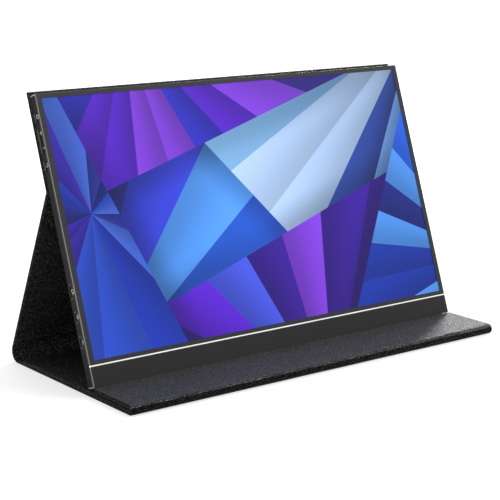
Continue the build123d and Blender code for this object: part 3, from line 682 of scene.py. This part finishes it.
def new_group(name, inputs, outputs):
    """An empty shader group; inputs are (name, kind, value) and outputs (name, kind)."""
    tree = bpy.data.node_groups.new(name, "ShaderNodeTree")
    for label, kind, value in inputs:
        socket = tree.interface.new_socket(label, in_out="INPUT", socket_type="NodeSocket" + kind)
        if value is not None:
            socket.default_value = value
    for label, kind in outputs:
        tree.interface.new_socket(label, in_out="OUTPUT", socket_type="NodeSocket" + kind)
    given = tree.nodes.new("NodeGroupInput").outputs
    out = tree.nodes.new("NodeGroupOutput").inputs
    return tree, given, out


def feed(tree, socket, value):
    """Link a socket to another one, or set it to a value."""
    if isinstance(value, bpy.types.NodeSocket):
        tree.links.new(value, socket)
    else:
        socket.default_value = value


def add(tree, kind, inputs=None, **settings):
    """A node with its settings and its inputs."""
    made = tree.nodes.new("ShaderNode" + kind)
    for name, value in settings.items():
        setattr(made, name, value)
    for name, value in (inputs or {}).items():
        feed(tree, made.inputs[name], value)
    return made


def use_group(tree, group, inputs):
    """One placed shader group."""
    return add(tree, "Group", inputs, node_tree=group).outputs


def maths(tree, operation, *values, clamp=False):
    """The result of one Math node."""
    inputs = dict(enumerate(values))
    return add(tree, "Math", inputs, operation=operation, use_clamp=clamp).outputs[0]


def scaled(tree, value, factor, offset):
    """A value times a factor, plus an offset."""
    return maths(tree, "MULTIPLY_ADD", value, factor, offset)


def vectors(tree, operation, *values, result="Vector"):
    """The result of one Vector Math node."""
    inputs = dict(enumerate(values))
    return add(tree, "VectorMath", inputs, operation=operation).outputs[result]


def noise_field(tree, place, scale, detail, **more):
    """A cloudy pattern between 0 and 1; the scale is in cells per metre."""
    inputs = {"Vector": place, "Scale": scale, "Detail": detail, **more}
    return add(tree, "TexNoise", inputs).outputs["Fac"]


def between(tree, value, low, high, low_out=0.0, high_out=1.0):
    """A value carried smoothly from one range to another."""
    inputs = {
        "Value": value,
        "From Min": low,
        "From Max": high,
        "To Min": low_out,
        "To Max": high_out,
    }
    return add(tree, "MapRange", inputs, interpolation_type="SMOOTHSTEP").outputs[0]


def blend_colours(tree, share, first, second, kind="MIX"):
    """One colour over another; the colours' sockets of the node go by number."""
    made = add(tree, "Mix", data_type="RGBA", blend_type=kind)
    sockets = (made.inputs[0], made.inputs[6], made.inputs[7])
    for socket, value in zip(sockets, (share, first, second)):
        feed(tree, socket, value)
    return made.outputs[2]


def shaded(tree, colour, tone):
    """A colour times a tone."""
    return blend_colours(tree, 1.0, colour, tone, "MULTIPLY")


def bump(tree, height, distance):
    """A normal from a height."""
    return add(tree, "Bump", {"Height": height, "Distance": distance, "Strength": 1.0}).outputs[0]


def rgb(red, green, blue):
    """A colour from screen values up to 255."""

    def linear(value):
        value /= 255
        return value / 12.92 if value <= 0.04045 else ((value + 0.055) / 1.055) ** 2.4

    return (linear(red), linear(green), linear(blue), 1)


def material(name):
    """A new material, its tree and its shader."""
    made = bpy.data.materials.new(name)
    made.use_nodes = True
    return made, made.node_tree, made.node_tree.nodes["Principled BSDF"]


def place_in(tree):
    """The place on the piece, in metres."""
    return add(tree, "TexCoord").outputs["Object"]


def attribute(tree, name, output):
    """A value or a place that the sheet's points carry."""
    return add(tree, "Attribute", attribute_name=name).outputs[output]


def connect(tree, shader, **sockets):
    """Link values to the shader's sockets, whose names are written with underscores."""
    for name, value in sockets.items():
        tree.links.new(value, shader.inputs[name.replace("_", " ")])


def dress(finish, *nodes):
    """Give CAD nodes their material."""
    for name in nodes:
        piece = frame["nodes"][name]
        piece.data.materials.clear()
        piece.data.materials.append(finish)


# Effects that several materials share

# Pebbles: how far their outlines wander, the crease and the rounded side of each as shares of it,
# and the fine grain on top
WANDER = 0.9 * MM
CREASE_SHARE = (0.02, 0.2)
DOME_SHARE = (0.02, 0.38)
FINE_HEIGHT = 0.16

# Bevels: a side bevel stands at 45 degrees, give or take a little
BEVEL_FACING = sqrt(0.5)
BEVEL_SPREAD = (0.06, 0.12)

# Brushed metal: how much longer the lines are than wide, as a share
LINE_SQUEEZE = 0.015


def build_pebble():
    """Leather grain: rounded pebbles with creases between them."""
    tree, given, out = new_group(
        "pebble_grain",
        [("Place", "Vector", None), ("Pitch", "Float", 0.001)],
        [("Height", "Float"), ("Crease", "Float"), ("Dome", "Float"), ("Tone", "Float")],
    )
    place = given["Place"]
    scale = maths(tree, "DIVIDE", 1.0, given["Pitch"])
    wander = add(tree, "TexNoise", {"Vector": place, "Scale": 420.0, "Detail": 2.0})
    shift = vectors(tree, "SUBTRACT", wander.outputs["Color"], (0.5, 0.5, 0.5))
    small = add(tree, "VectorMath", {0: shift, "Scale": WANDER}, operation="SCALE").outputs[0]
    cell = {"Vector": vectors(tree, "ADD", place, small), "Scale": scale}
    side = add(tree, "TexVoronoi", cell, feature="DISTANCE_TO_EDGE").outputs["Distance"]
    colour = add(tree, "TexVoronoi", cell).outputs["Color"]
    crease = between(tree, side, *CREASE_SHARE, 1.0, 0.0)
    dome = between(tree, side, *DOME_SHARE)
    height = scaled(tree, noise_field(tree, place, 5200.0, 2.0), FINE_HEIGHT, dome)
    tree.links.new(height, out["Height"])
    tree.links.new(crease, out["Crease"])
    tree.links.new(dome, out["Dome"])
    tree.links.new(add(tree, "SeparateColor", {0: colour}).outputs[0], out["Tone"])
    return tree


def build_moulding():
    """The fine texture of moulded plastic, with faint handling marks."""
    tree, given, out = new_group(
        "moulded_texture",
        [("Place", "Vector", None), ("Pitch", "Float", 0.0003)],
        [("Height", "Float"), ("Tone", "Float"), ("Haze", "Float")],
    )
    scale = maths(tree, "DIVIDE", 1.0, given["Pitch"])
    grain = noise_field(tree, given["Place"], scale, 3.0, Roughness=0.65)
    haze = noise_field(tree, given["Place"], 26.0, 4.0, Roughness=0.6)
    tree.links.new(grain, out["Height"])
    tree.links.new(between(tree, grain, 0.3, 0.7), out["Tone"])
    tree.links.new(between(tree, haze, 0.35, 0.68), out["Haze"])
    return tree


def build_brushing():
    """Fine lines along X, as brushing or drawing leaves on metal."""
    tree, given, out = new_group(
        "brushed_lines",
        [("Place", "Vector", None), ("Fineness", "Float", 5000.0)],
        [("Height", "Float"), ("Tone", "Float")],
    )
    squeezed = vectors(tree, "MULTIPLY", given["Place"], (LINE_SQUEEZE, 1, 1))
    lines = noise_field(tree, squeezed, given["Fineness"], 3.0)
    tree.links.new(lines, out["Height"])
    tree.links.new(between(tree, lines, 0.3, 0.7), out["Tone"])
    return tree


def build_bevel_mask():
    """Masks of all side bevels, and of those at the outline's corners alone, where highlights are
    painted.
    """
    tree, given, out = new_group(
        "bevel_mask",
        [("Facing", "Vector", (0, 0, 1))],
        [("Bevel", "Float"), ("Corner", "Float")],
    )
    normal = add(tree, "TexCoord").outputs["Normal"]
    found = []
    for direction in (given["Facing"], (1, 0, 0)):
        along = vectors(tree, "DOT_PRODUCT", normal, direction, result="Value")
        slope = maths(tree, "SUBTRACT", maths(tree, "ABSOLUTE", along), BEVEL_FACING)
        found.append(between(tree, maths(tree, "ABSOLUTE", slope), *BEVEL_SPREAD, 1.0, 0.0))
    facing, side = found
    tree.links.new(side, out["Bevel"])
    tree.links.new(maths(tree, "SUBTRACT", side, facing, clamp=True), out["Corner"])
    return tree


pebble = build_pebble()
moulding = build_moulding()
brushing = build_brushing()
bevel_mask = build_bevel_mask()

# Leather

# Colour: how dark a crease is, as painted shade; how much lighter a pebble's top is, as a painted
# highlight; how far the pebbles differ in tone; how light a fold is
CREASE_SHADE = 0.3
DOME_HIGHLIGHT = 2.4
PEBBLE_TONE = (0.7, 0.65)
FOLD_TONE = 0.7

# Rubbed places, and the front fold's painted highlight: patchy, and strongest on top of the pebbles
WEAR_AND_HIGHLIGHT_PATCH = (0.3, 0.6, 0.55, 1.0)
WEAR_AND_HIGHLIGHT_DOME = (0.9, 0.2)

# Roughness that patches, creases and the tops of pebbles add
PATCH_ROUGH = 0.12
CREASE_ROUGH = 0.16
DOME_ROUGH = -0.14

# Lines that a fold presses in: their stretch across the cover, which part of the noise makes one,
# and their depth in heights of a pebble
FOLD_STRETCH = 0.12
FOLD_LINE = (0.42, 0.6)
FOLD_DEPTH = -1.4


def leather_colour(tree, grain, fold, colour, contrast):
    """Pebbles of slightly different tones with painted highlights on their tops, painted shade in the
    creases between them, and lighter folds.
    """
    dark = [part * CREASE_SHADE for part in colour[:3]] + [1]
    creased = blend_colours(tree, grain["Crease"], colour, dark)
    raised = scaled(tree, grain["Dome"], DOME_HIGHLIGHT * contrast, 1.0 - contrast)
    tone = maths(tree, "MULTIPLY", raised, scaled(tree, grain["Tone"], *PEBBLE_TONE))
    tone = maths(tree, "MULTIPLY", tone, scaled(tree, fold, FOLD_TONE, 1.0))
    return shaded(tree, creased, tone)


def rubbing_and_painted_highlight(tree, grain, wear_and_highlight, patches):
    """Where the leather is rubbed, and where a highlight is painted on the front fold, from 0 to 1."""
    patchy = maths(tree, "MULTIPLY", wear_and_highlight, between(tree, patches, *WEAR_AND_HIGHLIGHT_PATCH))
    dots = scaled(tree, grain["Dome"], *WEAR_AND_HIGHLIGHT_DOME)
    return maths(tree, "MULTIPLY", patchy, dots, clamp=True)


def leather_height(tree, grain, fold, place):
    """The pebbles' height, with lines pressed into the folds."""
    stretched = vectors(tree, "MULTIPLY", place, (FOLD_STRETCH, 1, 1))
    lines = noise_field(tree, stretched, 900.0, 3.0)
    pressed = maths(tree, "MULTIPLY", fold, between(tree, lines, *FOLD_LINE, 1.0, 0.0))
    return scaled(tree, pressed, FOLD_DEPTH, grain["Height"])


def leather(name, colour, worn_and_highlight, depth, rough, specular, contrast):
    """Black leather: pebble grain with painted highlights on the pebbles' tops and painted shade in the
    creases, rubbed edges, a painted highlight where a sheet marks one, and softly creased folds.
    """
    made, tree, shader = material(name)
    place = attribute(tree, "rest_place", "Vector")
    wear_and_highlight = attribute(tree, "wear_and_highlight", "Fac")
    fold = attribute(tree, "crease", "Fac")
    grain = use_group(tree, pebble, {"Place": place, "Pitch": PEBBLE})
    patches = noise_field(tree, place, 55.0, 5.0)
    plain = leather_colour(tree, grain, fold, colour, contrast)
    lit = blend_colours(tree, rubbing_and_painted_highlight(tree, grain, wear_and_highlight, patches), plain, worn_and_highlight)
    dull = scaled(tree, patches, PATCH_ROUGH, rough)
    dull = scaled(tree, grain["Crease"], CREASE_ROUGH, dull)
    roughness = scaled(tree, grain["Dome"], DOME_ROUGH, dull)
    normal = bump(tree, leather_height(tree, grain, fold, place), depth)
    connect(tree, shader, Base_Color=lit, Roughness=roughness, Normal=normal)
    shader.inputs["Specular IOR Level"].default_value = specular
    return made


skin_finish = leather(
    "cover_leather",
    colour=rgb(22, 22, 23),
    worn_and_highlight=rgb(60, 60, 62),
    depth=0.4 * MM,
    rough=0.42,
    specular=0.06,
    contrast=0.9,
)
# The fold leather's light colour is chiefly a painted highlight on a strip near the fold's top, and also
# tints its rubbed side edges
fold_finish = leather(
    "fold_leather",
    colour=rgb(24, 24, 25),
    worn_and_highlight=rgb(138, 138, 142),
    depth=0.5 * MM,
    rough=0.4,
    specular=0.05,
    contrast=1.0,
)
# The ledge's top is a lighter, shinier copy of the cover's leather: painted light
ledge_finish = leather(
    "ledge_leather_painted_lighter",
    colour=rgb(46, 46, 48),
    worn_and_highlight=rgb(104, 104, 106),
    depth=0.5 * MM,
    rough=0.4,
    specular=0.42,
    contrast=0.65,
)
lining_finish = leather(
    "cover_lining",
    colour=rgb(54, 54, 55),
    worn_and_highlight=rgb(60, 60, 61),
    depth=0.5 * MM,
    rough=0.4,
    specular=0.2,
    contrast=0.9,
)
for piece in (low_skin, flap_skin):
    piece.data.materials.append(skin_finish)
for piece in (low_lining, flap_lining, ledge_lining):
    piece.data.materials.append(lining_finish)

# The front fold's top faces take the ledge's lighter, shinier leather, painted light; the rest of the
# fold keeps the darker fold leather
front_skin.data.materials.append(fold_finish)
front_skin.data.materials.append(ledge_finish)
fold_top = fold_radius * (1 - cos(pi * FOLD_TOP))
for face in front_skin.data.polygons:
    on_top = face.center.z > fold_top and abs(face.normal.x) < SIDE_FACING
    face.material_index = int(on_top)

# The ledge's narrow sides keep the cover's darker leather; only the ledge's top has the lighter copy
# painted as light
ledge_skin.data.materials.append(ledge_finish)
ledge_skin.data.materials.append(skin_finish)
for face in ledge_skin.data.polygons:
    face.material_index = int(abs(face.normal.x) > SIDE_FACING)

# Plastic and metal

# Plastic: how far its tone varies, what haze adds to the roughness, what polishing takes away, and the
# colours of the painted highlights on side bevels and at the outline's corners
PLASTIC_TONE = (0.16, 0.92)
HAZE_ROUGH = 0.08
POLISHED_ROUGH = -0.12
BEVEL_HIGHLIGHT = rgb(160, 160, 158)
BEVEL_CORNER_HIGHLIGHT = rgb(215, 215, 213)

# Metal: how far its tone and its roughness vary, how deep and how fine its lines are
METAL_TONE = (0.2, 0.9)
METAL_ROUGH = 0.12
LINE_DEPTH = 0.01 * MM
LINES_PER_METRE = 5000.0


def plastic(name, colour, pitch, depth, rough, facing=None, specular=0.2):
    """Moulded plastic with its texture; with a facing, the side bevels are smoother and carry a painted
    highlight, brightest at the outline's corners.
    """
    made, tree, shader = material(name)
    grain = use_group(tree, moulding, {"Place": place_in(tree), "Pitch": pitch})
    varied = shaded(tree, colour, scaled(tree, grain["Tone"], *PLASTIC_TONE))
    roughness = scaled(tree, grain["Haze"], HAZE_ROUGH, rough)
    if facing is not None:
        found = use_group(tree, bevel_mask, {"Facing": facing})
        varied = blend_colours(tree, found["Bevel"], varied, BEVEL_HIGHLIGHT)
        varied = blend_colours(tree, found["Corner"], varied, BEVEL_CORNER_HIGHLIGHT)
        roughness = scaled(tree, found["Bevel"], POLISHED_ROUGH, roughness)
    normal = bump(tree, grain["Height"], depth)
    connect(tree, shader, Base_Color=varied, Roughness=roughness, Normal=normal)
    shader.inputs["Specular IOR Level"].default_value = specular
    return made


def metal(name, colour, rough):
    """Brushed or drawn metal."""
    made, tree, shader = material(name)
    given = {"Place": place_in(tree), "Fineness": LINES_PER_METRE}
    grain = use_group(tree, brushing, given)
    varied = shaded(tree, colour, scaled(tree, grain["Tone"], *METAL_TONE))
    roughness = scaled(tree, grain["Tone"], METAL_ROUGH, rough)
    normal = bump(tree, grain["Height"], LINE_DEPTH)
    connect(tree, shader, Base_Color=varied, Roughness=roughness, Normal=normal)
    shader.inputs["Metallic"].default_value = 1.0
    return made


# The front frame and the rear cover have smoother side bevels with painted highlights

frame_plastic = plastic(
    "frame_plastic",
    colour=rgb(54, 54, 55),
    pitch=0.25 * MM,
    depth=0.008 * MM,
    rough=0.42,
    facing=screen_out,
)
rear_plastic = plastic(
    "rear_plastic",
    colour=rgb(21, 20, 18),
    pitch=0.35 * MM,
    depth=0.014 * MM,
    rough=0.5,
    facing=screen_out,
    specular=0.1,
)
dress(frame_plastic, "front_frame")
dress(rear_plastic, "rear_cover")

# Other plastics: name, colour, pitch and depth of the texture in millimetres, roughness, nodes
PLASTICS = [
    ("chin_plastic", (38, 38, 39), 0.22, 0.006, 0.45, ["chin_cover"]),
    (
        "button_plastic",
        (46, 45, 42),
        0.3,
        0.01,
        0.42,
        ["power_button", "back_button", "menu_rocker"],
    ),
    ("foot_rubber", (28, 28, 28), 0.3, 0.01, 0.8, ["foot_pads"]),
    (
        "cover_board",
        (120, 112, 100),
        0.5,
        0.03,
        0.9,
        ["base_board", "ledge_board", "rear_panel_board", "flap_board"],
    ),
    ("tape", (26, 26, 26), 0.2, 0.01, 0.6, ["panel_tape"]),
    ("film", (225, 228, 232), 0.4, 0.004, 0.25, ["optical_films"]),
    ("light_guide", (232, 238, 240), 0.8, 0.004, 0.12, ["light_guide_plate"]),
    ("reflector", (245, 245, 243), 0.4, 0.006, 0.5, ["reflector_sheet"]),
    ("led_bar", (236, 226, 150), 0.3, 0.006, 0.4, ["led_bar"]),
    (
        "circuit_board",
        (20, 74, 48),
        0.6,
        0.01,
        0.35,
        ["main_board", "button_board", "panel_driver_board"],
    ),
    ("film_black", (22, 22, 24), 0.4, 0.008, 0.4, ["insulator_sheet"]),
    ("chip_plastic", (30, 30, 31), 0.2, 0.01, 0.55, ["board_chips", "tact_switches"]),
    ("socket_plastic", (20, 20, 20), 0.2, 0.01, 0.5, ["port_tongues"]),
    ("ribbon", (206, 142, 58), 0.5, 0.01, 0.4, ["display_ribbon_cable", "button_flex_cable"]),
    (
        "speaker_plastic",
        (28, 28, 29),
        0.3,
        0.01,
        0.5,
        ["speaker_left", "speaker_right", "button_bracket"],
    ),
    ("gasket_foam", (34, 34, 34), 0.4, 0.06, 0.95, ["speaker_gaskets"]),
    ("wire_plastic", (150, 28, 26), 0.3, 0.01, 0.45, ["speaker_wires"]),
]
for name, colour, pitch, depth, rough, nodes in PLASTICS:
    finish = plastic(name, rgb(*colour), pitch * MM, depth * MM, rough)
    dress(finish, *nodes)
mark_print = plastic("mark_print", rgb(240, 240, 236), 0.3 * MM, 0.004 * MM, 0.5)
printed.data.materials.append(mark_print)

# Metals: name, colour, roughness, nodes
METALS = [
    ("silver_trim", (250, 250, 250), 0.2, ["accent_strip"]),
    ("tray_steel", (176, 178, 180), 0.35, ["backlight_tray", "catch_plates"]),
    ("standoff_brass", (206, 176, 104), 0.3, ["tray_standoffs"]),
    ("screw_steel", (52, 52, 54), 0.35, ["housing_screws", "board_screws"]),
    ("shield_steel", (200, 202, 204), 0.3, ["shield_can"]),
    (
        "socket_steel",
        (120, 120, 118),
        0.34,
        ["usb_c_port_upper", "usb_c_port_lower", "mini_video_port"],
    ),
    ("magnet", (190, 188, 184), 0.22, ["flap_magnets"]),
]
for name, colour, rough, nodes in METALS:
    dress(metal(name, rgb(*colour), rough), *nodes)

# Picture on the screen: folded paper fans of blue and violet, lying over one another

BLUES = [(24, 58, 176), (40, 104, 240), (84, 156, 250), (52, 66, 214), (28, 44, 140), (66, 128, 246)]
VIOLETS = [(92, 34, 214), (58, 26, 158), (134, 66, 232), (50, 50, 206), (74, 92, 236), (40, 30, 120)]
SKIES = [(140, 196, 250), (96, 150, 236), (176, 204, 244), (64, 104, 206), (118, 170, 244), (44, 74, 166)]
DEEPS = [(30, 60, 190), (44, 84, 214), (58, 40, 178), (36, 52, 160), (70, 110, 226), (24, 40, 132)]

# Each fan: where its heart is, its turn, its pleats, its colours, how deep they fold,
# and the line it ends at: a corner of that line and the direction to the fan's own side.
# Places are in units from the picture's middle.
PICTURE_UNIT = 0.1
FANS = [
    ((-1.95, -1.3), 0.35, 26, BLUES, 0.2, None, None),
    ((2.1, 1.4), 0.1, 34, SKIES, 0.16, (-0.15, 0.25), (0.78, 0.62)),
    ((0.35, -1.7), 0.6, 22, VIOLETS, 0.24, (0.1, -0.3), (0.3, -0.95)),
    ((-0.9, 1.5), 0.9, 24, VIOLETS, 0.22, (-0.75, 0.42), (-0.28, 0.96)),
    ((2.3, -0.7), 0.2, 26, BLUES, 0.18, (1.15, -0.35), (0.86, -0.5)),
    ((-1.5, 0.1), 1.3, 16, DEEPS, 0.2, (-1.2, -0.1), (-0.94, -0.34)),
]

# A pleat gets lighter away from the fan's heart; a fan's edge throws a soft shadow on the next
REACH_SHADE = (0.2, 3.2, 0.7, 1.15)
SHADOW_WIDTH = 0.26
SHADOW_TONE = 0.6
EDGE_BLUR = 0.002
SEED_STEP = 31.7


def build_fan():
    """The pleats of one fan about a point: a draw for each pleat, and where a place lies in it."""
    tree, given, out = new_group(
        "paper_fan",
        [
            ("Place", "Vector", None),
            ("Heart", "Vector", (0, 0, 0)),
            ("Turn", "Float", 0),
            ("Pleats", "Float", 12),
        ],
        [("Draw", "Float"), ("Across", "Float"), ("Reach", "Float")],
    )
    away = vectors(tree, "SUBTRACT", given["Place"], given["Heart"])
    parts = add(tree, "SeparateXYZ", {0: away}).outputs
    angle = maths(tree, "ARCTAN2", parts[1], parts[0])
    turned = maths(tree, "DIVIDE", maths(tree, "ADD", angle, given["Turn"]), 2 * pi)
    counted = maths(tree, "MULTIPLY", maths(tree, "FRACT", turned), given["Pleats"])
    seed = scaled(tree, given["Turn"], SEED_STEP, maths(tree, "FLOOR", counted))
    draw = add(tree, "TexWhiteNoise", {"W": seed}, noise_dimensions="1D").outputs["Value"]
    tree.links.new(draw, out["Draw"])
    tree.links.new(maths(tree, "FRACT", counted), out["Across"])
    tree.links.new(vectors(tree, "LENGTH", away, result="Value"), out["Reach"])
    return tree


def ramp(tree, share, colours):
    """Colours at even steps."""
    made = add(tree, "ValToRGB", {"Fac": share})
    made.color_ramp.interpolation = "CONSTANT"
    elements = made.color_ramp.elements
    while len(elements) < len(colours):
        elements.new(0.5)
    for i, colour in enumerate(colours):
        elements[i].position = i / len(colours)
    for element, colour in zip(elements, colours):
        element.color = colour
    return made.outputs["Color"]


def picture_place(tree):
    """The place on the picture, in its own units from its middle."""
    inputs = {
        "Vector": place_in(tree),
        "Location": screen_axes @ ((picture_low + picture_high) / 2),
        "Rotation": screen_axes.to_euler(),
        "Scale": (PICTURE_UNIT, PICTURE_UNIT, PICTURE_UNIT),
    }
    centred = add(tree, "Mapping", inputs, vector_type="TEXTURE").outputs[0]
    return vectors(tree, "MULTIPLY", centred, (1, 1, 0))


def fan_colours(tree, pleat, colours, depth):
    """The pleats of a fan in their colours, each darker towards its one side."""
    colour = ramp(tree, pleat["Draw"], [rgb(*each) for each in colours])
    fold = between(tree, pleat["Across"], 0.0, 1.0, 1.0 + depth, 1.0 - depth)
    reach = between(tree, pleat["Reach"], *REACH_SHADE)
    return shaded(tree, colour, maths(tree, "MULTIPLY", fold, reach))


def lay_over(tree, place, under, sheet, corner, direction):
    """A fan laid over what lies under it, up to its line, with a shadow beside that line."""
    away = vectors(tree, "SUBTRACT", place, (*corner, 0))
    beyond = vectors(tree, "DOT_PRODUCT", away, (*direction, 0), result="Value")
    shadow = between(tree, beyond, -SHADOW_WIDTH, 0.0, 1.0, SHADOW_TONE)
    on_fan = between(tree, beyond, -EDGE_BLUR, EDGE_BLUR)
    return blend_colours(tree, on_fan, shaded(tree, under, shadow), sheet)


def picture():
    """The lit picture, from its place on the glass."""
    made, tree, shader = material("screen")
    place = picture_place(tree)
    fan = build_fan()
    seen = None
    for heart, angle, pleats, colours, depth, corner, direction in FANS:
        given = {"Place": place, "Heart": (*heart, 0), "Turn": angle, "Pleats": pleats}
        sheet = fan_colours(tree, use_group(tree, fan, given), colours, depth)
        seen = sheet if seen is None else lay_over(tree, place, seen, sheet, corner, direction)
    connect(tree, shader, Emission_Color=seen)
    shader.inputs["Emission Strength"].default_value = 1.0
    shader.inputs["Base Color"].default_value = (0.004, 0.004, 0.005, 1)
    shader.inputs["Roughness"].default_value = 0.35
    shader.inputs["Specular IOR Level"].default_value = 0.15
    return made


dress(picture(), "lcd_panel")

# Floor, world and lamps


def white_when_seen(tree):
    """1 for rays from the camera, from a mirror or through clear glass, 0 for those that light."""
    path = add(tree, "LightPath").outputs
    seen = maths(tree, "ADD", path["Is Camera Ray"], path["Is Glossy Ray"], clamp=True)
    return maths(tree, "ADD", seen, path["Is Transmission Ray"], clamp=True)


def build_floor():
    """A wide pale floor that keeps the object's shadow and otherwise looks white."""
    bm = bmesh.new()
    bmesh.ops.create_circle(bm, cap_ends=True, segments=FLOOR_SIDES, radius=FLOOR_RADIUS)
    floor = keep(bm, "floor")
    made, tree, shader = material("floor")
    shader.inputs["Base Color"].default_value = (FLOOR_COLOUR,) * 3 + (1,)
    shader.inputs["Roughness"].default_value = FLOOR_ROUGHNESS
    shader.inputs["Specular IOR Level"].default_value = 0.0
    glow = add(tree, "Emission", {"Color": (1, 1, 1, 1)})
    away = vectors(tree, "LENGTH", place_in(tree), result="Value")
    strength = between(tree, away, *NEAR, NEAR_GLOW, FLOOR_GLOW)
    seen = maths(tree, "MULTIPLY", white_when_seen(tree), strength)
    tree.links.new(seen, glow.inputs["Strength"])
    both = add(tree, "AddShader", {0: shader.outputs[0], 1: glow.outputs[0]})
    tree.links.new(both.outputs[0], tree.nodes["Material Output"].inputs["Surface"])
    floor.data.materials.append(made)


def build_world():
    """White where it is seen, and a plain even light on the object."""
    world = bpy.data.worlds.new("studio")
    world.use_nodes = True
    bpy.context.scene.world = world
    tree = world.node_tree
    background = tree.nodes["Background"]
    background.inputs["Color"].default_value = (1, 1, 1, 1)
    strength = between(tree, white_when_seen(tree), 0.0, 1.0, WORLD_LIGHT, 1.0)
    tree.links.new(strength, background.inputs["Strength"])


def lamp(name, place, target, size, power):
    """A square soft lamp that looks at a target."""
    data = bpy.data.lights.new(name, "AREA")
    data.energy = power
    data.size = size
    made = bpy.data.objects.new(name, data)
    bpy.context.scene.collection.objects.link(made)
    made.location = place
    made.rotation_mode = "QUATERNION"
    made.rotation_quaternion = (Vector(target) - Vector(place)).to_track_quat("-Z", "Y")


build_floor()
build_world()
for each in LAMPS:
    lamp(*each)
